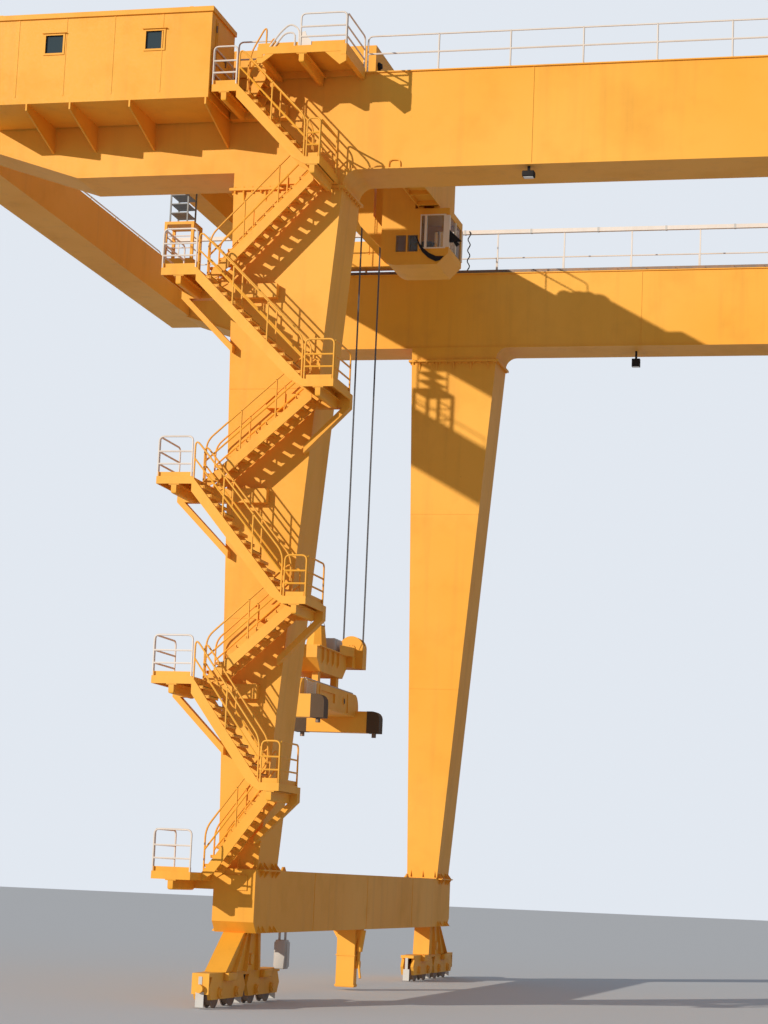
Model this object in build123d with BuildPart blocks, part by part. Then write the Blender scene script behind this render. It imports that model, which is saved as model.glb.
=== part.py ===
from build123d import *
import math
import os

os.makedirs("parts", exist_ok=True)

# A rail-mounted gantry crane at half the real crane's size, in millimetres.
# X runs along the two main girders, Y along the ground rails and Z up.
# The origin lies midway between the four corners, at the level of the wheels' lowest points.

# Main sizes of the gantry
rail_gauge = 15000.0
girder_gauge = 9200.0
girder_bottom = 9500.0
girder_depth = 1175.0
girder_width = 780.0
cantilever = 4180.0

# Main girders
flange_lip = 22.0
flange_plate = 14.0
taper_start = 1950.0
taper_end = 3700.0
taper_rise = 570.0
stub_drop = 205.0
stub_haunch = 175.0

# Legs, wide at the top and narrow at the foot
leg_top_out = 472.0
leg_top_in = 845.0
leg_foot_width = 450.0
joint_plate = 16.0
joint_lip = 40.0

# Sill beams along the ground rails
sill_top = 1482.0
sill_depth = 695.0
sill_width = 480.0
sill_overhang = 100.0
sill_nose = 120.0

# Wheels, trucks and pedestals under each corner
wheel_radius = 140.0
wheel_flange = 162.0
wheel_width = 60.0
wheel_places = (-975.0, -375.0, 375.0, 975.0)
axle_radius = 30.0
running_gap = 0.3
truck_length = 2640.0
bogie_reach = 645.0
bogie_nose = 80.0
truck_outset = 175.0
truck_low = 95.0
truck_high = 335.0
cheek_gap = 110.0
cheek_plate = 40.0
pedestal_top = (250.0, 400.0)
pedestal_foot = (850.0, 450.0)
pedestal_width = 240.0
buffer_radius = 45.0
buffer_length = 60.0
buffer_plate = 25.0
anchor_width = 240.0
anchor_depth = 160.0
anchor_clear = 40.0

# Cross beams that close the ends of the cantilevers
end_beam_width = 540.0

# Trolley rails beside the girders' inner webs
rail_height = 60.0
rail_head = 45.0
rail_inset = 80.0

# Electrical house outboard of the near girder
house_length = 2950.0
house_depth = 860.0
house_height = 990.0
house_floor = 10210.0
house_right = 70.0
house_gap = 40.0
house_base = 80.0
bracket_plate = 20.0
bracket_foot = 9810.0
bracket_places = (100.0, 1015.0, 1745.0, 2280.0)
window_size = 215.0
window_places = (750.0, 1980.0)
window_sill = 520.0
pane = 8.0

# Stair tower on the near left leg: each landing's two ends beyond the leg's outer top corner and its height
landings = (
    (-240.0, 205.0, 1425.0),
    (925.0, 1150.0, 2410.0),
    (-365.0, 100.0, 3540.0),
    (1085.0, 1350.0, 4435.0),
    (-440.0, -25.0, 5760.0),
    (1200.0, 1550.0, 6850.0),
    (-525.0, -110.0, 8150.0),
    (1100.0, 1270.0, 9400.0),
    (-50.0, 250.0, 10290.0),
    (475.0, 1525.0, 10710.0),
)
lane_width = 360.0
lane_gap = 25.0
stair_clear = 115.0
floor_plate = 12.0
fascia = 85.0
arm_drop = 90.0
tread_plate = 12.0
step_rise = 100.0
stringer_depth = 110.0
stringer_plate = 16.0
rail_bar = 20.0
rail_high = 450.0
rail_mid = 225.0
arm_width = 60.0
arm_reach = 560.0
brace_foot = 90.0
brace_bite = 80.0
top_rail_start = 505.0
top_heights = (125.0, 243.0, 398.0)
floor_rim = 14.0

# Railings along the girders, and the power rail on posts beside the far trolley rail
walk_heights = (215.0, 430.0)
near_post_gap = 830.0
far_post_gap = 1040.0
power_height = 740.0
power_first = 150.0
power_box = 60.0
power_place = 180.0

# Trolley at its resting place; its parts' X places are counted from the hoist ropes' middle
trolley_place = -7922.0
trolley_wheel_radius = 125.0
trolley_wheel_width = 55.0
trolley_flange = 14.0
carriage_left = -2550.0
carriage_right = (1449.0, 525.0)
carriage_width = 270.0
carriage_low = 60.0
carriage_depth = 405.0
near_wheels = (-1950.0, 1000.0)
far_wheels = (-1950.0, 225.0)
cross_beams_at = (-2400.0, -375.0, 375.0)
cross_beam_width = 300.0
cross_beam_depth = 350.0
stringer_width = 150.0
stringers_at = (-2825.0, -2150.0, 600.0, 2825.0)
deck_plate = 24.0
deck_edge = 2975.0
rope_well = (360.0, 2300.0)

# Hoist, its two drums and the falls down to the headblock's two sheave blocks
hoist_shift = -800.0
drum_radius = 180.0
drum_length = 2300.0
drum_clear = 120.0
drum_shaft = 50.0
drum_stand = 90.0
fall_place = 270.0
fall_reach = 1000.0
fall_gap = 22.0
rope_width = 12.0
motor_radius = 110.0
motor_length = 420.0
gearbox = (300.0, 240.0, 380.0)

# Cab beam across the trolley's right end, with the operator's cab and its arms below it
cab_beam = (1149.0, 1449.0)
cab_beam_low = 10280.0
cab_beam_end = 125.0
cab_beam_rib = 475.0
cab_beam_pocket = 60.0
cab_span = (670.0, 1590.0)
cab_rows = (-785.0, 35.0)
cab_floor = 9485.0
cab_roof = 10250.0
cab_tall = (1119.0, 10560.0)
cab_round = 210.0
cab_slope = 150.0
cab_wall = 30.0
cab_window = (1215.0, 1530.0, 9715.0, 10150.0)
cab_band = (872.0, 1175.0, 9660.0, 9890.0)
arm_plate = 120.0
arms_at = (-640.0, -110.0)

# Service ladder and work platform below the trolley's left end
service_x = (-2530.0, -2280.0)
service_reach = (70.0, 110.0)
service_half = 190.0
service_top = 10335.0
service_low = 9680.0
service_panel = 130.0

# Spreader and headblock
spreader_length = 3030.0
spreader_width = 1180.0
spreader_low = 3310.0
spreader_depth = 560.0
main_beam = (520.0, 300.0)
main_beam_round = 190.0
end_beam_size = (200.0, 285.0)
end_beam_round = 90.0
lock_stem = 60.0
recess = (700.0, 120.0, 20.0)
headblock_low = 4020.0
headblock_depth = 320.0
headblock_length = 1500.0
headblock_width = 520.0
headblock_taper = (200.0, 160.0)
block_arm = (140.0, 150.0)
sheave_radius = 135.0
sheave_width = 120.0
guard_radius = 165.0
guard_wall = 15.0
guard_width = 200.0
basket_radius = (150.0, 105.0)
basket_height = 330.0

# Derived places
foot_x = rail_gauge / 2
girder_y = girder_gauge / 2
girder_top = girder_bottom + girder_depth
leg_joint = girder_bottom - stub_drop
leg_out = foot_x + leg_top_out
leg_in = foot_x - leg_top_in
tip_x = leg_out + cantilever
near_web = -girder_y - girder_width / 2
rail_top = girder_top + rail_height
rail_y = girder_y - girder_width / 2 + rail_inset
sill_low = sill_top - sill_depth
sill_end = girder_y + girder_width / 2 + sill_overhang
truck_y = girder_y + truck_outset
stair_x = -leg_out
SIDES = (("left", -1), ("right", 1))
ROWS = (("near", -1), ("far", 1))


def finish(part, name):
    """Labels a finished piece and writes it to its own file."""
    part.label = name
    export_step(part, "parts/" + name + ".step")


def box_between(x, y, z, mode=Mode.ADD):
    """Adds a box given its two ends along each axis."""
    with Locations(((x[0] + x[1]) / 2, (y[0] + y[1]) / 2, (z[0] + z[1]) / 2)):
        Box(abs(x[1] - x[0]), abs(y[1] - y[0]), abs(z[1] - z[0]), mode=mode)


def bar(start, end, width):
    """Makes a square bar from one point to another."""
    run = Vector(*end) - Vector(*start)
    seat = (Align.CENTER, Align.CENTER, Align.MIN)
    return Box(width, width, run.length, align=seat, mode=Mode.PRIVATE).moved(Plane(start, z_dir=run).location)


def round_bar(start, end, radius):
    """Makes a round bar from one point to another."""
    run = Vector(*end) - Vector(*start)
    seat = (Align.CENTER, Align.CENTER, Align.MIN)
    return Cylinder(radius, run.length, align=seat, mode=Mode.PRIVATE).moved(Plane(start, z_dir=run).location)


def railing(points, spacing, heights=(rail_mid, rail_high)):
    """Makes the posts and rails along a run of floor points."""
    bars = []
    for start, end in zip(points, points[1:]):
        run = Vector(*end) - Vector(*start)
        count = max(1, round(run.length / spacing))
        for step in range(count + 1):
            foot = Vector(*start) + run * (step / count)
            bars.append(bar(tuple(foot), tuple(foot + Vector(0, 0, heights[-1])), rail_bar))
        for height in heights:
            low = Vector(*start) + Vector(0, 0, height)
            high = Vector(*end) + Vector(0, 0, height)
            bars.append(bar(tuple(low), tuple(high), rail_bar))
    return bars


def side_plane(y):
    """The upright plane across Y, with X to the right and Z up."""
    return Plane(origin=(0, y, 0), x_dir=(1, 0, 0), z_dir=(0, -1, 0))


def end_plane(x):
    """The upright plane across X, with Y to the right and Z up."""
    return Plane(origin=(x, 0, 0), x_dir=(0, 1, 0), z_dir=(1, 0, 0))


def prism(outline, plane, depth):
    """Adds a plate or beam of one outline, with its depth shared each side of the plane."""
    with BuildSketch(plane) as face:
        with BuildLine():
            Polyline(*outline, close=True)
        make_face()
    extrude(face.sketch, amount=depth / 2, both=True)


def girder_outline(shift):
    """The girder's side outline, with its lower edge moved up by a shift."""
    low = girder_bottom + shift
    start = leg_out + taper_start
    stop = leg_out + taper_end
    return [
        (-tip_x, girder_top), (-tip_x, low + taper_rise), (-stop, low + taper_rise),
        (-start, low), (start, low), (stop, low + taper_rise),
        (tip_x, low + taper_rise), (tip_x, girder_top),
    ]


# Main girders, box beams with lipped flanges and a bolted stub over each leg
for row, side_y in ROWS:
    y = side_y * girder_y
    web_plane = side_plane(y)
    edges = (y - girder_width / 2, y + girder_width / 2)
    with BuildPart() as girder:
        prism(girder_outline(0), web_plane, girder_width - 2 * flange_lip)
        box_between((-tip_x, tip_x), edges, (girder_top - flange_plate, girder_top))
        with BuildSketch(web_plane) as lower_flange:
            with BuildLine():
                Polyline(*girder_outline(0), close=True)
            make_face()
            with BuildLine():
                Polyline(*girder_outline(flange_plate), close=True)
            make_face(mode=Mode.SUBTRACT)
        extrude(lower_flange.sketch, amount=girder_width / 2, both=True)
        for side, side_x in SIDES:
            outer = side_x * leg_out
            inner = side_x * leg_in
            turn = 1 - math.cos(math.radians(45))
            haunch_x = inner - side_x * stub_haunch
            haunch_z = girder_bottom - stub_haunch
            with BuildSketch(web_plane) as stub:
                with BuildLine():
                    Polyline(
                        (haunch_x, girder_bottom), (outer, girder_bottom),
                        (outer, leg_joint), (inner, leg_joint), (inner, haunch_z),
                    )
                    ThreePointArc(
                        (inner, haunch_z),
                        (inner - side_x * stub_haunch * turn, girder_bottom - stub_haunch * turn),
                        (haunch_x, girder_bottom),
                    )
                make_face()
            extrude(stub.sketch, amount=girder_width / 2, both=True)
            plate_x = (outer + side_x * joint_lip, inner - side_x * joint_lip)
            plate_y = (edges[0] - joint_lip, edges[1] + joint_lip)
            box_between(plate_x, plate_y, (leg_joint, leg_joint + joint_plate))
    finish(girder.part, "girder_" + row)

# Trolley rails along the girders
with BuildPart() as rails:
    for row, side_y in ROWS:
        y = side_y * rail_y
        half = rail_head / 2
        box_between((-tip_x, tip_x), (y - half, y + half), (girder_top, rail_top))
finish(rails.part, "trolley_rails")

# Cross beams that tie the two girders together at the ends of the cantilevers
with BuildPart() as end_beams:
    inner_y = girder_y - girder_width / 2
    for side, side_x in SIDES:
        beam_x = (side_x * tip_x, side_x * (tip_x - end_beam_width))
        box_between(beam_x, (-inner_y, inner_y), (girder_bottom + taper_rise, girder_top))
finish(end_beams.part, "end_beams")

# Legs, tapered boxes bolted between the girder stubs and the sill beams
for side, side_x in SIDES:
    half_foot = leg_foot_width / 2
    foot_out = side_x * (foot_x + half_foot)
    foot_in = side_x * (foot_x - half_foot)
    top_out = side_x * leg_out
    top_in = side_x * leg_in
    outline = [(top_out, leg_joint), (top_in, leg_joint), (foot_in, sill_top), (foot_out, sill_top)]
    lips = girder_width / 2 + joint_lip
    top_lips = (top_out + side_x * joint_lip, top_in - side_x * joint_lip)
    with BuildPart() as legs:
        for row, side_y in ROWS:
            y = side_y * girder_y
            prism(outline, side_plane(y), girder_width)
            box_between(top_lips, (y - lips, y + lips), (leg_joint - joint_plate, leg_joint))
            box_between((foot_out, foot_in), (y - lips, y + lips), (sill_top, sill_top + joint_plate))
    finish(legs.part, "legs_" + side)

# Sill beams that join each pair of legs along the ground rail
with BuildPart() as sills:
    outline = [
        (-sill_end, sill_top), (-sill_end, sill_low + sill_nose), (-sill_end + sill_nose, sill_low),
        (sill_end - sill_nose, sill_low), (sill_end, sill_low + sill_nose), (sill_end, sill_top),
    ]
    for side, side_x in SIDES:
        prism(outline, end_plane(side_x * foot_x), sill_width)
finish(sills.part, "sill_beams")

# Trucks: cheeks each side of the wheels, a cap plate, a pedestal up to the sill and an end buffer
cheek_out = cheek_gap / 2 + cheek_plate
for side, side_x in SIDES:
    x = side_x * foot_x
    with BuildPart() as trucks:
        for row, side_y in ROWS:
            y = side_y * truck_y
            half = truck_length / 2
            mid_z = (truck_low + truck_high) / 2
            for bogie_y in (y - half + bogie_reach, y + half - bogie_reach):
                tip = bogie_reach
                shoulder = bogie_reach - bogie_nose
                outline = [
                    (bogie_y - tip, mid_z), (bogie_y - shoulder, truck_high), (bogie_y + shoulder, truck_high),
                    (bogie_y + tip, mid_z), (bogie_y + shoulder, truck_low), (bogie_y - shoulder, truck_low),
                ]
                for cheek_x in (x - cheek_gap / 2 - cheek_plate / 2, x + cheek_gap / 2 + cheek_plate / 2):
                    prism(outline, end_plane(cheek_x), cheek_plate)
            box_between((x - cheek_out, x + cheek_out), (y - half, y + half), (truck_high, truck_high + cheek_plate))
            outline = [
                (y + side_y * pedestal_foot[0], truck_high + cheek_plate),
                (y + side_y * pedestal_top[0], sill_low),
                (y - side_y * pedestal_top[1], sill_low),
                (y - side_y * pedestal_foot[1], truck_high + cheek_plate),
            ]
            prism(outline, end_plane(x), pedestal_width)
            end_y = y + side_y * half
            buffer_y = end_y + side_y * buffer_plate
            box_between(
                (x - cheek_out, x + cheek_out), (end_y, buffer_y), (mid_z - 60.0, truck_high + cheek_plate)
            )
            add(round_bar((x, buffer_y, mid_z), (x, buffer_y + side_y * buffer_length, mid_z), buffer_radius))
            axle_bores = [
                round_bar(
                    (x - cheek_out, y + place, wheel_flange),
                    (x + cheek_out, y + place, wheel_flange),
                    axle_radius + running_gap,
                )
                for place in wheel_places
            ]
            add(axle_bores, mode=Mode.SUBTRACT)
    finish(trucks.part, "trucks_" + side)

# Flanged rail wheels on their axles
with BuildPart() as wheels:
    half = wheel_width / 2
    with BuildSketch(Plane.XZ) as wheel_section:
        with BuildLine():
            Polyline(
                (0, cheek_out), (axle_radius, cheek_out), (axle_radius, half + flange_plate),
                (wheel_flange, half + flange_plate), (wheel_flange, half), (wheel_radius, half),
                (wheel_radius, 0), (0, 0), close=True,
            )
        make_face()
        mirror(about=Plane.XZ)
    turned = revolve(wheel_section.sketch, axis=Axis.Z, mode=Mode.PRIVATE)
    places = [
        Location((side_x * foot_x, side_y * truck_y + place, wheel_flange), (0, 90, 0))
        for side, side_x in SIDES
        for row, side_y in ROWS
        for place in wheel_places
    ]
    add([turned.moved(place) for place in places])
finish(wheels.part, "rail_wheels")

# Storm anchor posts under the middle of each sill beam
with BuildPart() as anchors:
    post_height = sill_low - anchor_clear
    with Locations(*[(side_x * foot_x, 0, anchor_clear + post_height / 2) for side, side_x in SIDES]):
        Box(anchor_width, anchor_depth, post_height)
finish(anchors.part, "anchor_posts")

# Platform and brackets that carry the electrical house outboard of the near girder
house_x = (stair_x - house_right - house_length, stair_x - house_right)
house_y = (near_web - house_gap - house_depth, near_web - house_gap)
platform_low = house_floor - house_base
bracket_out = near_web + flange_lip
with BuildPart() as platform:
    box_between(house_x, (house_y[0], near_web), (platform_low, house_floor))
    for place in bracket_places:
        outline = [
            (bracket_out, bracket_foot), (bracket_out, platform_low),
            (house_y[0], platform_low), (house_y[0], platform_low - house_base),
        ]
        prism(outline, end_plane(stair_x - place), bracket_plate)
finish(platform.part, "house_platform")

# Electrical house, a closed sheet-metal cabinet with two small windows
window_low = house_floor + window_sill
window_mids = [(stair_x - place, window_low + window_size / 2) for place in window_places]
with BuildPart() as house:
    box_between(house_x, house_y, (house_floor, house_floor + house_height))
    with Locations(*[(x, house_y[0], z) for x, z in window_mids]):
        Box(window_size, 6 * pane, window_size, mode=Mode.SUBTRACT)
finish(house.part, "electrical_house")

with BuildPart() as panes:
    with Locations(*[(x, house_y[0] + 2.5 * pane, z) for x, z in window_mids]):
        Box(window_size, pane, window_size)
finish(panes.part, "house_windows")

# Stair tower: lanes beside the leg's outer face, the rear one for flights up to the right
rear_lane = (near_web - stair_clear - lane_width, near_web - stair_clear)
front_lane = (rear_lane[0] - lane_gap - lane_width, rear_lane[0] - lane_gap)


def stair_flight(start, end, lane, name):
    """Writes a flight with two stringers, open treads and a handrail on each side."""
    rise = end[1] - start[1]
    run = end[0] - start[0]
    count = round(rise / step_rise)
    going = abs(run) / count
    drop = stringer_depth * math.hypot(rise, run) / abs(run)
    low_cut = min(drop, rise / 2)
    shares = [step / count for step in range(1, count)]
    mid_y = (lane[0] + lane[1]) / 2
    with BuildPart() as flight:
        for y in (lane[0] + stringer_plate / 2, lane[1] - stringer_plate / 2):
            outline = [
                start, end, (end[0], end[1] - fascia), (end[0] - math.copysign(1, run), end[1] - drop),
                (start[0] + run * low_cut / rise, start[1] + low_cut - drop), (start[0], start[1] - fascia),
            ]
            prism(outline, side_plane(y), stringer_plate)
        with Locations(*[(start[0] + run * k, mid_y, start[1] + rise * k - tread_plate / 2) for k in shares]):
            Box(going * 1.25 + rail_bar, lane_width, tread_plate)
        bars = []
        inset = math.copysign(rail_bar, run)
        climb = rise * rail_bar / abs(run)
        for y in (lane[0] + rail_bar / 2, lane[1] - rail_bar / 2):
            foot = (start[0] + inset, y, start[1] + climb)
            head = (end[0] - inset, y, end[1] - climb)
            bars += railing([foot, head], 600.0)
        add(bars)
    finish(flight.part, name)


for number in range(len(landings) - 1):
    low_left, low_right, low_z = landings[number]
    high_left, high_right, high_z = landings[number + 1]
    goes_right = number % 2 == 0
    lane = rear_lane if goes_right else front_lane
    start_x = low_right if goes_right else low_left
    end_x = high_left if goes_right else high_right
    stair_flight(
        (stair_x + start_x, low_z), (stair_x + end_x, high_z), lane, "stair_flight_%d" % (number + 1)
    )

def tray(x, y, top):
    """Adds a floor with a rim below it and a rib under its middle."""
    box_between(x, y, (top - fascia, top))
    mid = (x[0] + x[1]) / 2
    for low, high in ((x[0] + floor_rim, mid - floor_rim / 2), (mid + floor_rim / 2, x[1] - floor_rim)):
        box_between(
            (low, high), (y[0] + floor_rim, y[1] - floor_rim), (top - fascia, top - floor_plate), Mode.SUBTRACT
        )


# Landings, each a floor with a rim, carried by an arm along the leg's face
with BuildPart() as floors:
    for number, (low, high, z) in enumerate(landings[:9]):
        x = (stair_x + low, stair_x + high)
        tray(x, (front_lane[0], rear_lane[1]), z)
        on_left = number % 2 == 0
        arm_x = (x[0], stair_x + arm_reach + arm_width) if on_left else (stair_x + arm_reach, x[1])
        seat_y = near_web if z - fascia > sill_top else -sill_end
        at_joint = abs(z - fascia - leg_joint) < 2 * arm_drop
        arm_low = z - fascia if at_joint else z - fascia - arm_drop
        box_between(arm_x, (rear_lane[1], seat_y), (arm_low, z - floor_plate))
        if 0 < number < 7:
            share = (leg_joint - arm_low) / (leg_joint - sill_top)
            way = 1 if on_left else -1
            start = x[0] if on_left else x[1]
            top_edge = 0.0 if on_left else leg_out - leg_in
            foot_edge = leg_out - foot_x - way * leg_foot_width / 2
            end = stair_x + top_edge + share * (foot_edge - top_edge) + way * brace_bite
            drop = abs(end - start)
            outline = [
                (start, arm_low), (start + way * brace_foot, arm_low),
                (end, arm_low - drop + brace_foot), (end, arm_low - drop),
            ]
            prism(outline, side_plane((rear_lane[1] + near_web) / 2), near_web - rear_lane[1])
finish(floors.part, "landings")

with BuildPart() as top_floor:
    low, high, z = landings[-1]
    x = (stair_x + low, stair_x + high)
    tray(x, (front_lane[0], near_web), z)
    for place in (x[0], x[1] - arm_width):
        box_between((place, place + arm_width), (front_lane[0], near_web), (z - fascia - joint_lip, z - fascia))
finish(top_floor.part, "top_platform")

# Guard rails round the landings, with a gap at each flight
with BuildPart() as guards:
    bars = []
    half_bar = rail_bar / 2
    for number, (low, high, z) in enumerate(landings[:9]):
        x = (stair_x + low + half_bar, stair_x + high - half_bar)
        shut = x[0] if number % 2 == 0 else x[1]
        front = front_lane[0] + half_bar
        rear = rear_lane[1] - half_bar
        bars += railing([(x[0], front, z), (x[1], front, z)], 500.0)
        bars += railing([(shut, front + 1.5 * rail_bar, z), (shut, rear, z)], 400.0)
    low, high, z = landings[-1]
    x = (stair_x + low + top_rail_start, stair_x + high - half_bar)
    bars += railing([(x[0], front_lane[0] + half_bar, z), (x[1], front_lane[0] + half_bar, z)], 800.0, top_heights)
    bars += railing([(x[1], front_lane[0] + 2 * rail_bar, z), (x[1], near_web - rail_bar, z)], 800.0, top_heights)
    add(bars)
finish(guards.part, "landing_rails")

# Railings along the girders' outer edges and along the end beams
with BuildPart() as walkway:
    outer = girder_y + girder_width / 2 - rail_bar
    ends = (-tip_x + rail_bar, tip_x - rail_bar)
    past_stair = stair_x + landings[-1][1] + rail_bar
    past_house = stair_x - house_right - house_length - 2 * rail_bar
    add(railing([(past_stair, -outer, girder_top), (ends[1], -outer, girder_top)], near_post_gap, walk_heights))
    gap_x = (stair_x - house_right + 2 * rail_bar, stair_x + landings[-1][0] - 2 * rail_bar)
    add(railing([(gap_x[0], -outer, girder_top), (gap_x[1], -outer, girder_top)], near_post_gap, walk_heights))
    add(railing([(ends[0], -outer, girder_top), (past_house, -outer, girder_top)], near_post_gap, walk_heights))
    add(railing([(ends[0], outer, girder_top), (ends[1], outer, girder_top)], far_post_gap, walk_heights))
    run = girder_y - girder_width / 2 - 2 * rail_bar
    for x in ends:
        add(railing([(x, -run, girder_top), (x, run, girder_top)], far_post_gap, walk_heights))
finish(walkway.part, "walkway_railings")

# Power rail for the trolley, a cable box on posts beside the far trolley rail
with BuildPart() as power_rail:
    y = rail_y + power_place
    span = (-tip_x + power_box, tip_x - power_box)
    rail_z = (girder_top + power_height - power_box, girder_top + power_height)
    box_between(span, (y - power_box / 2, y + power_box / 2), rail_z)
    count = int((span[1] - span[0] - power_first) / far_post_gap)
    places = [span[0] + power_first + k * far_post_gap for k in range(count + 1)]
    post_mid = (girder_top + rail_z[0]) / 2
    with Locations(*[(x, y, post_mid) for x in places]):
        Box(rail_bar, rail_bar, rail_z[0] - girder_top)
finish(power_rail.part, "power_rail")

# Floodlights under the far girder
with BuildPart() as lights:
    for x in (-4572.0, 4572.0):
        box_between((x - 15, x + 15), (girder_y - 15, girder_y + 15), (girder_bottom - 120, girder_bottom))
        box_between((x - 60, x + 60), (girder_y - 45, girder_y + 45), (girder_bottom - 240, girder_bottom - 120))
finish(lights.part, "floodlights")

# Trolley carriages on the rails, the near one longer, with a pocket for each wheel
trolley_x = trolley_place
wheel_z = rail_top + trolley_wheel_radius + running_gap
carriage_z = (rail_top + carriage_low, rail_top + carriage_low + carriage_depth)
inner_edge = rail_y - carriage_width / 2
wheel_mids = [(trolley_x + place, -rail_y) for place in near_wheels]
wheel_mids += [(trolley_x + place, rail_y) for place in far_wheels]
pocket = 2 * (trolley_wheel_radius + trolley_flange + rail_bar)
with BuildPart() as carriages:
    for (row, side_y), right in zip(ROWS, carriage_right):
        y = side_y * rail_y
        box_between(
            (trolley_x + carriage_left, trolley_x + right),
            (y - carriage_width / 2, y + carriage_width / 2),
            carriage_z,
        )
    with Locations(*[(x, y, wheel_z) for x, y in wheel_mids]):
        Box(pocket, trolley_wheel_width + 4 * trolley_flange, pocket, mode=Mode.SUBTRACT)
    bores = [
        round_bar((x, y - carriage_width / 2, wheel_z), (x, y + carriage_width / 2, wheel_z), axle_radius + running_gap)
        for x, y in wheel_mids
    ]
    add(bores, mode=Mode.SUBTRACT)
finish(carriages.part, "trolley_carriages")

with BuildPart() as trolley_wheels:
    half = trolley_wheel_width / 2
    rim = trolley_wheel_radius + trolley_flange
    with BuildSketch(Plane.XZ) as trolley_section:
        with BuildLine():
            Polyline(
                (0, carriage_width / 2), (axle_radius, carriage_width / 2), (axle_radius, half + trolley_flange),
                (rim, half + trolley_flange), (rim, half), (trolley_wheel_radius, half),
                (trolley_wheel_radius, 0), (0, 0), close=True,
            )
        make_face()
        mirror(about=Plane.XZ)
    turned = revolve(trolley_section.sketch, axis=Axis.Z, mode=Mode.PRIVATE)
    add([turned.moved(Location((x, y, wheel_z), (90, 0, 0))) for x, y in wheel_mids])
finish(trolley_wheels.part, "trolley_wheels")

# Cross beams between the carriages, with stringers under the deck and out to the cab beam
beam_z = (carriage_z[1] - cross_beam_depth, carriage_z[1])
stringer_z = (beam_z[1] - cross_beam_depth / 2, beam_z[1])
with BuildPart() as cross_beams:
    for place in cross_beams_at:
        x = trolley_x + place
        box_between((x - cross_beam_width / 2, x + cross_beam_width / 2), (-inner_edge, inner_edge), beam_z)
    for y in stringers_at:
        edges = (y - stringer_width / 2, y + stringer_width / 2)
        box_between((trolley_x + cross_beams_at[0], trolley_x + cross_beams_at[1]), edges, stringer_z)
    for y in (hoist_shift - 600.0, cab_beam_end - stringer_width / 2):
        edges = (y - stringer_width / 2, y + stringer_width / 2)
        box_between((trolley_x + cross_beams_at[2], trolley_x + cab_beam[0]), edges, stringer_z)
finish(cross_beams.part, "trolley_beams")

# Machinery deck with a well for the ropes
deck_z = (beam_z[1], beam_z[1] + deck_plate)
deck_x = (trolley_x + carriage_left, trolley_x + carriage_right[1])
with BuildPart() as deck:
    box_between(deck_x, (-deck_edge, deck_edge), deck_z)
    with Locations((trolley_x, hoist_shift, deck_z[0])):
        Box(rope_well[0], rope_well[1], 4 * deck_plate, mode=Mode.SUBTRACT)
finish(deck.part, "trolley_deck")

# Guard rails round the deck
with BuildPart() as deck_guard:
    x = (deck_x[0] + rail_bar, deck_x[1] - rail_bar)
    y = (-deck_edge + rail_bar, deck_edge - rail_bar)
    gap = 2 * rail_bar
    add(railing([(x[0], y[0], deck_z[1]), (x[0], y[1], deck_z[1])], 1000.0))
    add(railing([(x[0] + gap, y[1], deck_z[1]), (x[1], y[1], deck_z[1])], 1000.0))
    add(railing([(x[1], 900.0, deck_z[1]), (x[1], y[1] - gap, deck_z[1])], 1000.0))
finish(deck_guard.part, "deck_railing")

# Hoist drums, each between two bearing stands, turned by a motor through a gearbox
drum_z = deck_z[1] + drum_clear + drum_radius
drum_mids = (-sheave_radius - drum_radius, sheave_radius + drum_radius)
stand_y = drum_length / 2 + drum_stand
with BuildPart() as drums:
    for place in drum_mids:
        x = trolley_x + place
        ends = (hoist_shift - drum_length / 2, hoist_shift + drum_length / 2)
        add(round_bar((x, ends[0], drum_z), (x, ends[1], drum_z), drum_radius - 20.0))
        for end in (ends[0], ends[1] - 40.0):
            add(round_bar((x, end, drum_z), (x, end + 40.0, drum_z), drum_radius + 15.0))
        shaft = (hoist_shift - stand_y - drum_stand, hoist_shift + stand_y + drum_stand)
        add(round_bar((x, shaft[0], drum_z), (x, shaft[1], drum_z), drum_shaft))
finish(drums.part, "hoist_drums")

with BuildPart() as stands:
    for place in drum_mids:
        for end in (-1, 1):
            x = trolley_x + place
            y = hoist_shift + end * stand_y
            outline = [
                (x - 150, deck_z[1]), (x + 150, deck_z[1]), (x + 150, deck_z[1] + 30), (x + 85, drum_z),
                (x + 60, drum_z + 80), (x - 60, drum_z + 80), (x - 85, drum_z), (x - 150, deck_z[1] + 30),
            ]
            prism(outline, side_plane(y), drum_stand)
    shafts = [
        round_bar(
            (trolley_x + place, hoist_shift - drum_length, drum_z),
            (trolley_x + place, hoist_shift + drum_length, drum_z),
            drum_shaft + running_gap,
        )
        for place in drum_mids
    ]
    add(shafts, mode=Mode.SUBTRACT)
finish(stands.part, "drum_stands")

with BuildPart() as motors:
    for place in drum_mids:
        x = trolley_x + place
        y = hoist_shift + stand_y + drum_stand
        box_between((x - gearbox[0] / 2, x + gearbox[0] / 2), (y, y + gearbox[1]), (deck_z[1], deck_z[1] + gearbox[2]))
        motor_z = deck_z[1] + motor_radius + 40.0
        add(round_bar((x, y + gearbox[1], motor_z), (x, y + gearbox[1] + motor_length, motor_z), motor_radius))
        foot_y = (y + gearbox[1] + 60.0, y + gearbox[1] + motor_length - 60.0)
        box_between((x - motor_radius, x + motor_radius), foot_y, (deck_z[1], motor_z - motor_radius / 2))
finish(motors.part, "drum_motors")

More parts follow.
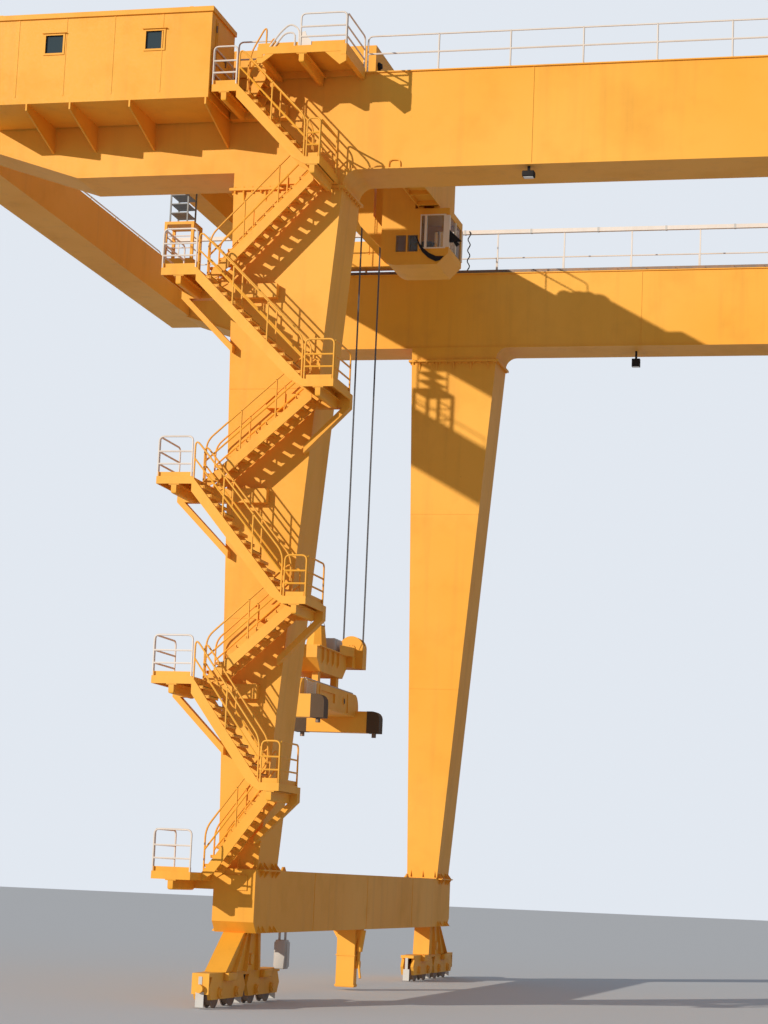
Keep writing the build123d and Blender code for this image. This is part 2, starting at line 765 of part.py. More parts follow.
# Cab beam, a box with ribbed pockets in its underside
with BuildPart() as beam:
    x = (trolley_x + cab_beam[0], trolley_x + cab_beam[1])
    box_between(x, (-inner_edge, cab_beam_end), (cab_beam_low, carriage_z[1]))
    count = int((inner_edge + cab_beam_end) / cab_beam_rib)
    step = (inner_edge + cab_beam_end) / count
    for k in range(count):
        y = -inner_edge + k * step
        box_between(
            (x[0] + floor_rim, x[1] - floor_rim),
            (y + floor_rim, y + step - floor_rim),
            (cab_beam_low, cab_beam_low + cab_beam_pocket),
            Mode.SUBTRACT,
        )
finish(beam.part, "cab_beam")


cab_middle = (cab_rows[0] + cab_rows[1]) / 2
cab_half = (cab_rows[1] - cab_rows[0]) / 2
cab_right = trolley_x + cab_span[1]


def cab_outline(wall):
    """The cab's side outline, drawn in from its outer faces by a wall."""
    left = trolley_x + cab_span[0] + wall
    right = trolley_x + cab_span[1] - wall
    low = cab_floor + wall
    roof = cab_roof - wall
    tall_x = trolley_x + cab_tall[0] - wall
    bend = cab_round - wall
    with BuildSketch(side_plane(cab_middle)) as face:
        with BuildLine():
            Polyline(
                (left + bend, low), (right - cab_slope, low), (right, low + cab_slope), (right, roof),
                (tall_x, roof), (tall_x, cab_tall[1] - wall), (left, cab_tall[1] - wall), (left, low + bend),
            )
            RadiusArc((left, low + bend), (left + bend, low), -bend)
        make_face()
    return face.sketch


# Operator's cab with rounded foot, tall at the back and glazed at the front
with BuildPart() as cab:
    extrude(cab_outline(0), amount=cab_half, both=True)
    extrude(cab_outline(cab_wall), amount=cab_half - cab_wall, both=True, mode=Mode.SUBTRACT)
    for low, high, sill, head in (cab_window, cab_band):
        for y in cab_rows:
            box_between((trolley_x + low, trolley_x + high), (y - 2 * cab_wall, y + 2 * cab_wall), (sill, head), Mode.SUBTRACT)
    box_between(
        (cab_right - 2 * cab_wall, cab_right + cab_wall),
        (cab_rows[0] + 2 * cab_wall, cab_rows[1] - 2 * cab_wall),
        (cab_window[2], cab_window[3]),
        Mode.SUBTRACT,
    )
finish(cab.part, "operator_cab")

with BuildPart() as glass:
    for low, high, sill, head in (cab_window, cab_band):
        for side, y in zip((1, -1), cab_rows):
            pane_y = (y + side * pane, y + side * 2 * pane)
            box_between((trolley_x + low, trolley_x + high), pane_y, (sill, head))
    box_between(
        (cab_right - 2 * pane, cab_right - pane),
        (cab_rows[0] + 2 * cab_wall, cab_rows[1] - 2 * cab_wall),
        (cab_window[2], cab_window[3]),
    )
finish(glass.part, "cab_glass")

# Packers between the cab's roof and the cab beam, and cranked arms from the cross beam to the cab's back
with BuildPart() as hangers:
    for x in (cab_beam[0] + 40.0, cab_beam[1] - 40.0):
        for y in (cab_rows[0] + 60.0, cab_rows[1] - 60.0):
            middle = trolley_x + x
            box_between((middle - 40, middle + 40), (y - 40, y + 40), (cab_roof, cab_beam_low))
    back = trolley_x + cab_span[0]
    hang = trolley_x + cross_beams_at[2]
    for y in arms_at:
        outline = [
            (hang - 115, beam_z[0]), (hang + 150, beam_z[0]), (hang + 150, 10190.0), (back, 10010.0),
            (back, 9725.0), (hang - 25, 10060.0), (hang - 115, 10230.0),
        ]
        prism(outline, side_plane(y), arm_plate)
finish(hangers.part, "cab_hangers")

# Service ladder down from the left cross beam, with a small work platform at its foot
with BuildPart() as ladder:
    for x in service_x:
        for y in (-service_half + rail_bar, service_half - rail_bar):
            add(bar((trolley_x + x, y, service_top), (trolley_x + x, y, beam_z[0]), rail_bar))
    steps = int((beam_z[0] - service_top) / (1.5 * step_rise))
    for step in range(1, steps + 1):
        z = service_top + step * (beam_z[0] - service_top) / (steps + 1)
        with Locations((trolley_x + sum(service_x) / 2, 0, z)):
            Box(service_x[1] - service_x[0], 2 * service_half - rail_bar, tread_plate)
finish(ladder.part, "service_ladder")

with BuildPart() as service:
    x = (trolley_x + service_x[0] - service_reach[0], trolley_x + service_x[1] + service_reach[1])
    y = (-service_half, service_half)
    box_between(x, y, (service_top - 2 * rail_bar, service_top))
    box_between(x, y, (service_low, service_low + service_panel))
    for post_x in (x[0], x[1] - 2 * rail_bar):
        for post_y in (y[0], y[1] - 2 * rail_bar):
            box_between(
                (post_x, post_x + 2 * rail_bar),
                (post_y, post_y + 2 * rail_bar),
                (service_low + service_panel, service_top - 2 * rail_bar),
            )
finish(service.part, "service_platform")

# Headblock, tapered at its foot, with an arm at two corners for the sheave blocks
headblock_z = (headblock_low, headblock_low + headblock_depth)
block_ends = (hoist_shift - headblock_length / 2, hoist_shift + headblock_length / 2)
sheave_z = headblock_z[1] + sheave_radius - axle_radius / 2
blocks = [(side, trolley_x + side * fall_place, hoist_shift + side * fall_reach) for side in (-1, 1)]
with BuildPart() as headblock:
    outline = [
        (block_ends[0], headblock_z[1]), (block_ends[0], headblock_low + headblock_taper[1]),
        (block_ends[0] + headblock_taper[0], headblock_low), (block_ends[1] - headblock_taper[0], headblock_low),
        (block_ends[1], headblock_low + headblock_taper[1]), (block_ends[1], headblock_z[1]),
    ]
    prism(outline, end_plane(trolley_x), headblock_width)
    for side, x, y in blocks:
        arm_end = y - side * guard_width / 2
        box_between(
            (x - side * block_arm[0], x + side * block_arm[0] / 2),
            (hoist_shift + side * (headblock_length / 2 - rail_bar), arm_end),
            (headblock_z[1] - block_arm[1], headblock_z[1]),
        )
finish(headblock.part, "headblock")

# Sheaves and their domed guards
with BuildPart() as sheaves:
    for side, x, y in blocks:
        half = sheave_width / 2
        add(round_bar((x, y - half, sheave_z), (x, y + half, sheave_z), sheave_radius - rope_width / 2 - running_gap))
        reach = guard_width / 2
        add(round_bar((x, y - reach, sheave_z), (x, y + reach, sheave_z), axle_radius))
finish(sheaves.part, "headblock_sheaves")

with BuildPart() as guards:
    for side, x, y in blocks:
        half = guard_width / 2
        foot = headblock_z[1] - block_arm[1]
        add(round_bar((x, y - half, sheave_z), (x, y + half, sheave_z), guard_radius))
        box_between((x - guard_radius, x + guard_radius), (y - half, y + half), (foot, sheave_z))
        inside = guard_radius - guard_wall
        ends = (y - half + guard_wall, y + half - guard_wall)
        add(round_bar((x, ends[0], sheave_z), (x, ends[1], sheave_z), inside), mode=Mode.SUBTRACT)
        box_between((x - inside, x + inside), ends, (foot, sheave_z), Mode.SUBTRACT)
        add(
            round_bar((x, y - half, sheave_z), (x, y + half, sheave_z), axle_radius + running_gap),
            mode=Mode.SUBTRACT,
        )
        for edge in (-1, 1):
            slot = x + edge * sheave_radius
            box_between(
                (slot - 2 * rope_width, slot + 2 * rope_width),
                (y - fall_gap - rope_width, y + fall_gap + rope_width),
                (sheave_z, sheave_z + guard_radius),
                Mode.SUBTRACT,
            )
finish(guards.part, "sheave_guards")

# Spreader: a main beam with rounded ends and a twistlock beam across each end
spreader_top = spreader_low + spreader_depth
spreader_ends = (hoist_shift - spreader_length / 2, hoist_shift + spreader_length / 2)
end_top = spreader_low + lock_stem + end_beam_size[1]
with BuildPart() as spreader:
    beam_ends = (spreader_ends[0] + 60.0, spreader_ends[1] - 60.0)
    low = spreader_top - main_beam[1]
    with BuildSketch(end_plane(trolley_x)) as side_face:
        with BuildLine():
            Polyline(
                (beam_ends[0] + main_beam_round, spreader_top), (beam_ends[1] - main_beam_round, spreader_top),
            )
            RadiusArc(
                (beam_ends[1] - main_beam_round, spreader_top), (beam_ends[1], spreader_top - main_beam_round),
                main_beam_round,
            )
            Polyline(
                (beam_ends[1], spreader_top - main_beam_round), (beam_ends[1], low), (beam_ends[0], low),
                (beam_ends[0], spreader_top - main_beam_round),
            )
            RadiusArc(
                (beam_ends[0], spreader_top - main_beam_round), (beam_ends[0] + main_beam_round, spreader_top),
                main_beam_round,
            )
        make_face()
    extrude(side_face.sketch, amount=main_beam[0] / 2, both=True)
    half_w = spreader_width / 2
    for side, end in zip((1, -1), spreader_ends):
        middle = end + side * end_beam_size[0] / 2
        foot = spreader_low + lock_stem
        with BuildSketch(side_plane(middle)) as end_face:
            with BuildLine():
                Polyline(
                    (trolley_x - half_w, end_top - end_beam_round), (trolley_x - half_w, foot),
                    (trolley_x + half_w, foot), (trolley_x + half_w, end_top - end_beam_round),
                )
                RadiusArc(
                    (trolley_x + half_w, end_top - end_beam_round),
                    (trolley_x + half_w - end_beam_round, end_top),
                    -end_beam_round,
                )
                Line(
                    (trolley_x + half_w - end_beam_round, end_top), (trolley_x - half_w + end_beam_round, end_top)
                )
                RadiusArc(
                    (trolley_x - half_w + end_beam_round, end_top),
                    (trolley_x - half_w, end_top - end_beam_round),
                    -end_beam_round,
                )
            make_face()
        extrude(end_face.sketch, amount=end_beam_size[0] / 2, both=True)
    for side_x in (-1, 1):
        face_x = trolley_x + side_x * main_beam[0] / 2
        with Locations((face_x, hoist_shift - 120.0, spreader_top - 140.0)):
            Box(2 * recess[2], recess[0], recess[1], mode=Mode.SUBTRACT)
finish(spreader.part, "spreader_frame")

with BuildPart() as links:
    for place in (-180.0, 180.0):
        for end in (-450.0, 450.0):
            x = trolley_x + place
            y = hoist_shift + end
            box_between((x - 40, x + 40), (y - 60, y + 60), (spreader_top, headblock_low))
finish(links.part, "headblock_locks")

with BuildPart() as locks:
    for place in (-1, 1):
        for side, end in zip((1, -1), spreader_ends):
            x = trolley_x + place * (half_w - 90)
            y = end + side * 90
            add(round_bar((x, y, spreader_low), (x, y, spreader_low + lock_stem), 30.0))
finish(locks.part, "twistlocks")

# Cable basket on the headblock, an eight-sided tub narrower at its mouth
with BuildPart() as basket:
    basket_y = hoist_shift + 135.0
    for shrink, mode in ((0, Mode.ADD), (guard_wall, Mode.SUBTRACT)):
        with BuildSketch(Plane((trolley_x, basket_y, headblock_z[1] + shrink))) as foot:
            RegularPolygon(basket_radius[0] - shrink, 8)
        with BuildSketch(Plane((trolley_x, basket_y, headblock_z[1] + basket_height + shrink))) as mouth:
            RegularPolygon(basket_radius[1] - shrink, 8)
        loft(sections=[foot.sketch, mouth.sketch], mode=mode)
finish(basket.part, "cable_basket")

# Hoist ropes from the cross beams down to the headblock's sheaves, a pair on each side of each sheave
rope_top = beam_z[0]
with BuildPart() as ropes:
    falls = []
    for side, x, y in blocks:
        for edge in (-sheave_radius, sheave_radius):
            for shift in (-fall_gap, fall_gap):
                falls.append(bar((x + edge, y + shift, rope_top), (x + edge, y + shift, sheave_z), rope_width))
    add(falls)
finish(ropes.part, "hoist_ropes")
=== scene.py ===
import math

import bpy
import bmesh
from mathutils import Matrix, Vector


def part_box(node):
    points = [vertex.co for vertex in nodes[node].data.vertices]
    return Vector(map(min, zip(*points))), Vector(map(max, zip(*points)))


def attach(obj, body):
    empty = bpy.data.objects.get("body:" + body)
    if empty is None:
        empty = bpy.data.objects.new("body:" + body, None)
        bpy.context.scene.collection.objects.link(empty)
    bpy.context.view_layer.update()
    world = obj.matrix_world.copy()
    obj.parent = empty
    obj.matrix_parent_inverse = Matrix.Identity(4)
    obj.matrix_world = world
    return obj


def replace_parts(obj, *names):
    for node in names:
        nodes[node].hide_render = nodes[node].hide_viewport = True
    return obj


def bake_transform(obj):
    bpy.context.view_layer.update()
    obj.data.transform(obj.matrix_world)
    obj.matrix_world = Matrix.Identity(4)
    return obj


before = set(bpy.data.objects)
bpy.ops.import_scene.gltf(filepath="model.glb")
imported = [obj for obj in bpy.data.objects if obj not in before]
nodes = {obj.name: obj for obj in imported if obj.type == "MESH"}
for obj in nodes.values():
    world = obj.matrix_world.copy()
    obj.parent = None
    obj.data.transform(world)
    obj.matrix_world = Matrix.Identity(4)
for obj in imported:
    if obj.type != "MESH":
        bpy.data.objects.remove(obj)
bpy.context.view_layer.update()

# Camera: stands low beside the crane and looks up along its width, with a long lens
# and a slight roll, as the photograph was taken.
camera_place = Vector((0.4795, -30.781, 1.416))
camera_turn = 0.2465
camera_rise = 0.1609
camera_roll = 0.0422
camera_lens = 84.31
camera_shift = -0.02

ahead = Vector((
    -math.sin(camera_turn) * math.cos(camera_rise),
    math.cos(camera_turn) * math.cos(camera_rise),
    math.sin(camera_rise),
))
level = Vector((math.cos(camera_turn), math.sin(camera_turn), 0))
upright = level.cross(ahead)
sideways = math.cos(camera_roll) * level + math.sin(camera_roll) * upright
upwards = -math.sin(camera_roll) * level + math.cos(camera_roll) * upright
camera_data = bpy.data.cameras.new("camera")
camera_data.lens = camera_lens
camera_data.sensor_width = 36
camera_data.shift_y = camera_shift
camera_data.clip_end = 500
camera = bpy.data.objects.new("camera", camera_data)
camera_axes = Matrix((sideways, upwards, -ahead)).transposed().to_4x4()
camera.matrix_world = Matrix.Translation(camera_place) @ camera_axes
bpy.context.scene.collection.objects.link(camera)
bpy.context.scene.camera = camera
bpy.context.scene.view_settings.view_transform = "Standard"


# Main girders: welded plate boxes with lipped flanges, made in three lengths that are butt
# welded on site. All the crane's steel has the same yellow site paint, rolled on thick, gone
# chalky in patches and streaked by rain, with rust where the edges chip.
class Wire:
    """A socket whose sums are written as Python expressions, each adding its Math node."""

    def __init__(self, tree, socket):
        self.tree = tree
        self.socket = socket

    def math(self, operation, *values):
        node = self.tree.nodes.new("ShaderNodeMath")
        node.operation = operation
        for slot, value in zip(node.inputs, (self, *values)):
            if isinstance(value, Wire):
                self.tree.links.new(value.socket, slot)
            else:
                slot.default_value = value
        return Wire(self.tree, node.outputs[0])

    def __add__(self, other):
        return self.math("ADD", other)

    def __mul__(self, other):
        return self.math("MULTIPLY", other)

    def __sub__(self, other):
        return self.math("SUBTRACT", other)

    def __rsub__(self, other):
        return (self * -1) + other

    __radd__ = __add__
    __rmul__ = __mul__


class Finish:
    """A material under construction: node() adds any node, and shade() feeds the shader."""

    def __init__(self, name):
        self.material = bpy.data.materials.new(name)
        self.material.use_nodes = True
        self.tree = self.material.node_tree
        self.shader = self.tree.nodes["Principled BSDF"]
        self.place = self.node("ShaderNodeTexCoord", out="Object")

    def node(self, kind, settings=(), inputs=(), out=0):
        made = self.tree.nodes.new(kind)
        for key, value in dict(settings).items():
            setattr(made, key, value)
        for key, value in dict(inputs).items():
            if isinstance(value, Wire):
                self.tree.links.new(value.socket, made.inputs[key])
            else:
                made.inputs[key].default_value = value
        return Wire(self.tree, made.outputs[out])

    def noise(self, scale, detail=4.0, roughness=0.5, stretch=(1, 1, 1)):
        place = self.node("ShaderNodeMapping", inputs={"Vector": self.place, "Scale": stretch})
        return self.node("ShaderNodeTexNoise", inputs={
            "Vector": place, "Scale": scale, "Detail": detail, "Roughness": roughness,
        })

    def band(self, value, low, high):
        return self.node("ShaderNodeMapRange", inputs={"Value": value, "From Min": low, "From Max": high})

    def mix(self, factor, first, second):
        sockets = {"Factor": factor, "A": first, "B": second}
        return self.node("ShaderNodeMix", {"data_type": "RGBA"}, sockets, 2)

    def bump(self, height, strength, distance):
        return self.node("ShaderNodeBump", inputs={
            "Height": height, "Strength": strength, "Distance": distance,
        })

    def shade(self, **inputs):
        for key, value in inputs.items():
            slot = self.shader.inputs[key.replace("_", " ").title().replace("Ior", "IOR")]
            if isinstance(value, Wire):
                self.tree.links.new(value.socket, slot)
            else:
                slot.default_value = value
        return self.material


def site_paint(name, colour, faded, dirt, rust, rough):
    """Weathered site paint: uneven coats, dirty blotches, rain streaks and chips that rust."""
    paint = Finish(name)
    coats = paint.band(paint.noise(0.4, 3), 0.35, 0.68)
    blotches = paint.band(paint.noise(1.7, 5, 0.6), 0.5, 0.78)
    streaks = paint.band(paint.noise(4.5, 5, 0.62, (1, 1, 0.06)), 0.52, 0.8)
    chips = paint.band(paint.noise(23, 6, 0.72), 0.70, 0.74)
    grain = paint.noise(70, 3)
    tone = paint.mix(coats, colour, faded)
    tone = paint.mix(blotches * 0.20, tone, dirt)
    tone = paint.mix(streaks * 0.26, tone, dirt)
    tone = paint.mix(chips * 0.7, tone, rust)
    roughness = paint.band(grain, 0.3, 0.7) * 0.12 + blotches * 0.10 + rough
    relief = paint.noise(5.5, 2) * 0.6 + grain * 0.1 - chips * 0.2
    return paint.shade(
        base_color=tone, roughness=roughness, normal=paint.bump(relief, 0.10, 0.01), specular_ior_level=0.25,
    )


yellow = site_paint(
    "yellow_site_paint", (0.87, 0.385, 0.030, 1), (0.92, 0.445, 0.060, 1), (0.46, 0.175, 0.03, 1),
    (0.20, 0.07, 0.025, 1), 0.46,
)


def block(shape, corner, opposite):
    """Adds a box between any two opposite corners and returns its edges, for a bevel."""
    corner, opposite = Vector(corner), Vector(opposite)
    size = [abs(length) for length in opposite - corner]
    where = Matrix.Translation((corner + opposite) / 2) @ Matrix.Diagonal((*size, 1))
    made = bmesh.ops.create_cube(shape, size=1, matrix=where)
    return {edge for corner in made["verts"] for edge in corner.link_edges}


def put(shape, name, body, paint):
    """Makes a finished shape a piece of its own that rides a body, with its sharp edges kept."""
    bmesh.ops.recalc_face_normals(shape, faces=shape.faces)
    for face in shape.faces:
        face.smooth = True
    for edge in shape.edges:
        edge.smooth = edge.calc_face_angle(0) < 0.85
    mesh = bpy.data.meshes.new(name)
    shape.to_mesh(mesh)
    shape.free()
    mesh.materials.append(paint)
    made = bpy.data.objects.new(name, mesh)
    bpy.context.scene.collection.objects.link(made)
    if body:
        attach(made, body)
    return made


def wear(paint, *names):
    """Gives CAD nodes their finish."""
    for name in names:
        for slot in nodes[name].material_slots:
            slot.material = paint


wear(yellow, "girder_near", "girder_far", "end_beams")
girder_foot, girder_head = 9.5, 10.675
web_out, web_in = 4.968, 4.232
flange = 0.014
bead, foot_bead = 0.006, 0.003
seam_places = (-4.461, 4.461)
girder_welds = bmesh.new()
for side in (-1, 1):
    for seam in seam_places:
        for web, out in ((web_out, bead), (web_in, -bead)):
            block(
                girder_welds,
                (seam - bead, side * web, girder_foot + flange),
                (seam + bead, side * (web + out), girder_head - flange),
            )
        block(
            girder_welds,
            (seam - bead, side * (web_out - 0.02), girder_foot - foot_bead),
            (seam + bead, side * (web_in + 0.02), girder_foot + 0.001),
        )
put(girder_welds, "girder_seam_welds", "gantry", yellow)

# Trolley rails: rolled steel bars held down by bolted clips, with a running surface that the
# wheels polish and sides left to rust.
bare = Finish("worn_bare_steel")
scuffs = bare.band(bare.noise(6, 5, 0.6), 0.4, 0.7)
pits = bare.noise(40, 4, 0.6)
worn_steel = bare.shade(
    base_color=bare.mix(scuffs, (0.20, 0.15, 0.12, 1), (0.30, 0.17, 0.10, 1)),
    metallic=0.5, roughness=bare.band(pits, 0.3, 0.7) * 0.2 + 0.42, normal=bare.bump(pits, 0.2, 0.002),
)
wear(worn_steel, "trolley_rails")


def rod(shape, start, end, radius, sides=12, tip=None):
    """Adds a round bar between two points, or a cone where a tip radius is given."""
    start, end = Vector(start), Vector(end)
    turn = (end - start).to_track_quat("Z", "Y").to_matrix().to_4x4()
    bmesh.ops.create_cone(
        shape, cap_ends=True, segments=sides, radius1=radius, radius2=radius if tip is None else tip,
        depth=(end - start).length, matrix=Matrix.Translation((start + end) / 2) @ turn,
    )


rail_line, rail_foot_half = 4.29, 0.0235
clip_gap, clip_half, clip_reach, clip_thick = 0.44, 0.02, 0.06, 0.014
clip_bolt, clip_bolt_line = 0.011, 0.045
rail_clips = bmesh.new()
for side in (-1, 1):
    for number in range(-27, 28):
        middle = number * clip_gap
        for edge in (-1, 1):
            block(
                rail_clips,
                (middle - clip_half, side * rail_line + edge * rail_foot_half, girder_head),
                (middle + clip_half, side * rail_line + edge * clip_reach, girder_head + clip_thick),
            )
            bolt_y = side * rail_line + edge * clip_bolt_line
            rod(
                rail_clips, (middle, bolt_y, girder_head + 0.01), (middle, bolt_y, girder_head + 0.03),
                clip_bolt, 6,
            )
put(rail_clips, "rail_clips", "gantry", worn_steel)

# Legs: tapered plate boxes, bolted through lipped plates to the girders' stubs above and to
# the sills below, with small triangular gussets between the bolts, and two welded seams each.
wear(yellow, "legs_left", "legs_right")
joint_top, joint_foot, lip = 9.311, 9.263, 0.038
leg_line, leg_half = 4.6, 0.39
leg_head = (6.655, 7.972)
leg_foot = (7.275, 7.725)
sill_head = 1.482


def plate(shape, corners, thickness):
    """Adds a flat plate of one outline, pushed out by a thickness vector."""
    face = shape.faces.new([shape.verts.new(corner) for corner in corners])
    pushed = bmesh.ops.extrude_face_region(shape, geom=[face])["geom"]
    pushed_corners = [part for part in pushed if isinstance(part, bmesh.types.BMVert)]
    bmesh.ops.translate(shape, verts=pushed_corners, vec=thickness)


def gusset(shape, corner, first, second, thickness):
    """Adds a triangular gusset, from its corner, its two legs and its thickness."""
    corner = Vector(corner)
    plate(shape, [corner, corner + Vector(first), corner + Vector(second)], thickness)


gusset_thick, gusset_rise, foot_lip = (0.014, 0, 0), 0.12, 0.016
leg_bolt = 0.012
gussets = bmesh.new()
joint_bolts = bmesh.new()
for end in (-1, 1):
    for side in (-1, 1):
        for face in (-1, 1):
            wall = side * leg_line + face * leg_half
            for share in (0.08, 0.29, 0.5, 0.71, 0.92):
                x = end * (leg_head[0] + share * (leg_head[1] - leg_head[0]) - 0.05 * (share - 0.5))
                gusset(gussets, (x, wall, joint_foot), (0, face * lip, 0), (0, 0, -gusset_rise), gusset_thick)
            for share in (0.1, 0.5, 0.9):
                x = end * (leg_foot[0] + share * (leg_foot[1] - leg_foot[0]))
                gusset(
                    gussets, (x, wall, sill_head + foot_lip), (0, face * lip, 0),
                    (0, 0, gusset_rise - foot_lip), gusset_thick,
                )
            for number in range(13):
                x = end * (leg_head[0] + 0.03 + number * 0.105)
                y = wall + face * 0.022
                rod(joint_bolts, (x, y, joint_foot - leg_bolt), (x, y, joint_top + leg_bolt), leg_bolt, 6)
        for number in range(7):
            y = side * leg_line - 0.33 + number * 0.11
            for x in (end * (leg_head[0] - 0.02), end * (leg_head[1] + 0.02)):
                rod(joint_bolts, (x, y, joint_foot - leg_bolt), (x, y, joint_top + leg_bolt), leg_bolt, 6)
put(joint_bolts, "leg_joint_bolts", "gantry", yellow)
for end in (-1, 1):
    for side in (-1, 1):
        for share in (0.36, 0.70):
            z = sill_head + share * (joint_foot - sill_head)
            inner = leg_foot[0] + share * (leg_head[0] - leg_foot[0]) + 0.004
            outer = leg_foot[1] + share * (leg_head[1] - leg_foot[1]) - 0.004
            block(
                gussets,
                (end * inner, side * leg_line - leg_half - 0.004, z - bead),
                (end * outer, side * leg_line + leg_half + 0.004, z + bead),
            )
put(gussets, "leg_gussets_and_seams", "gantry", yellow)

# Sill beams: plate boxes between the legs' feet, with welded teeth below each leg's corners,
# diaphragm seams along the sides and lifting lugs on top.
wear(yellow, "sill_beams")
sill_mid, sill_half, sill_foot = 7.5, 0.24, 0.787
tooth_reach, tooth_rise, tooth_thick = 0.060, 0.08, (0, 0.016, 0)
teeth = bmesh.new()
for end in (-1, 1):
    for face in (-1, 1):
        wall = end * sill_mid + face * sill_half
        for side in (-1, 1):
            for share in (-0.30, -0.15, 0.15, 0.30):
                y = side * leg_line + share
                out, under, over = (face * tooth_reach, 0, 0), (0, 0, -tooth_rise), (0, 0, tooth_rise)
                gusset(teeth, (wall, y, sill_head - 0.01), out, under, tooth_thick)
                gusset(teeth, (wall, y, sill_head), (-face * 0.02, 0, 0.10), out, tooth_thick)
                gusset(teeth, (wall, y, sill_foot + 0.005), (face * 0.055, 0, 0), over, tooth_thick)
            block(
                teeth,
                (wall, side * leg_line - leg_half, sill_head - 0.012),
                (wall + face * 0.062, side * leg_line + leg_half, sill_head + 0.004),
            )
        for y in (-2.6, 0, 2.6):
            block(
                teeth, (wall, y - bead, sill_foot + 0.01), (wall + face * 0.004, y + bead, sill_head - 0.01),
            )
    for y in (-3.2, 3.2):
        lug = ((-0.09, 0), (0.09, 0), (0.03, 0.05), (-0.03, 0.05))
        plate(teeth, [(end * sill_mid, y + shift, sill_head + rise) for shift, rise in lug], (0.02, 0, 0))
put(teeth, "sill_teeth_and_lugs", "gantry", yellow)

# Trucks: two bogies under each corner, whose cheek plates hold the axles. Caps cover the
# bearings, ribs run up the pedestal, and galvanised sweepers hang over the rail.
wear(yellow, "trucks_left", "trucks_right")
wear(worn_steel, "rail_wheels")
truck_line, cheek_out, axle_z = 4.775, 0.095, 0.162
axle_places = (-0.975, -0.375, 0.375, 0.975)
bogie_places, bogie_head = (-0.675, 0.675), 0.375
sweeper_places = (-1.345, 0.0, 1.345)


def ring_of_bolts(shape, centre, way, circle, radius, length, count=6):
    """Adds a ring of hexagon heads round an axis that points along X or Y."""
    centre, way = Vector(centre), Vector(way)
    across = Vector((way.y, way.x, 0))
    for number in range(count):
        turn = number * 2 * math.pi / count
        spot = centre + circle * (math.cos(turn) * across + math.sin(turn) * Vector((0, 0, 1)))
        rod(shape, spot, spot + length * way, radius, 6)


def round_off(shape, edges, width, steps=2):
    """Rounds the given edges off."""
    bmesh.ops.bevel(
        shape, geom=list(edges), offset=width, offset_type="OFFSET", segments=steps, profile=0.5,
        affect="EDGES", clamp_overlap=True, material=-1,
    )


def bolted_cap(shape, centre, way, radius, height, circle, head):
    """Adds a round cap on a wall, with a ring of bolt heads of a given length on it."""
    centre, way = Vector(centre), Vector(way)
    rod(shape, centre - 0.002 * way, centre + height * way, radius, 20)
    ring_of_bolts(shape, centre + (height - 0.002) * way, way, circle, 0.006, head)


bearing_caps = bmesh.new()
truck_ribs = bmesh.new()
sweepers = bmesh.new()
for end in (-1, 1):
    x = end * sill_mid
    for side in (-1, 1):
        y = side * truck_line
        for face in (-1, 1):
            wall = x + face * cheek_out
            for place in axle_places:
                axle_end = Vector((wall, y + place, axle_z))
                bolted_cap(bearing_caps, axle_end, (face, 0, 0), 0.058, 0.022, 0.045, 0.01)
                rod(bearing_caps, axle_end, axle_end + Vector((face * 0.034, 0, 0)), 0.030, 16)
            rib_wall = x + face * 0.12
            for foot_y, head_y in ((0.62, 0.17), (0.22, 0.05), (-0.22, -0.22)):
                foot_y, head_y = y + side * foot_y, y + side * head_y
                plate(
                    truck_ribs,
                    [
                        (rib_wall, foot_y, bogie_head), (rib_wall + face * 0.05, foot_y, bogie_head),
                        (rib_wall + face * 0.025, head_y, sill_foot), (rib_wall, head_y, sill_foot),
                    ],
                    (0, 0.014, 0),
                )
            pin_y = y - side * 0.02
            rod(
                bearing_caps, (rib_wall - face * 0.002, pin_y, 0.50), (rib_wall + face * 0.03, pin_y, 0.50),
                0.062, 24,
            )
            for bogie in bogie_places:
                edges = block(
                    truck_ribs,
                    (wall - face * 0.002, y + bogie - 0.16, 0.285),
                    (wall + face * 0.06, y + bogie + 0.16, 0.372),
                )
                round_off(truck_ribs, edges, 0.010)
        for reach in sweeper_places:
            block(sweepers, (x - 0.045, y + reach - 0.008, 0.02), (x + 0.045, y + reach + 0.008, 0.18))
            block(sweepers, (x - 0.02, y + reach - 0.006, 0.17), (x + 0.02, y + reach + 0.006, 0.34))
put(bearing_caps, "axle_bearing_caps", "gantry", yellow)
put(truck_ribs, "truck_ribs_and_boxes", "gantry", yellow)
galvanised = site_paint(
    "pale_galvanised", (0.52, 0.50, 0.47, 1), (0.62, 0.60, 0.57, 1), (0.30, 0.26, 0.22, 1),
    (0.25, 0.13, 0.07, 1), 0.5,
)
put(sweepers, "rail_sweepers", "gantry", galvanised)

# Travel cable cabinets: pale sheet-steel boxes hung on two straps below each sill beside its
# near truck, for the travel motors' cables, with a door on each side.
cabinet_line, cabinet_half = 7.31, 0.065
cabinets = bmesh.new()
for end in (-1, 1):
    middle = end * cabinet_line
    edges = block(cabinets, (middle - cabinet_half, -3.80, 0.371), (middle + cabinet_half, -3.66, 0.70))
    round_off(cabinets, edges, 0.012)
    for face in (-1, 1):
        door = middle + face * cabinet_half
        block(cabinets, (door, -3.785, 0.395), (door + face * 0.013, -3.675, 0.675))
    for shift in (-0.035, 0.035):
        strap = middle + shift
        block(cabinets, (strap - 0.012, -3.74, 0.69), (strap + 0.012, -3.72, sill_foot))
put(cabinets, "travel_cable_cabinets", "gantry", galvanised)

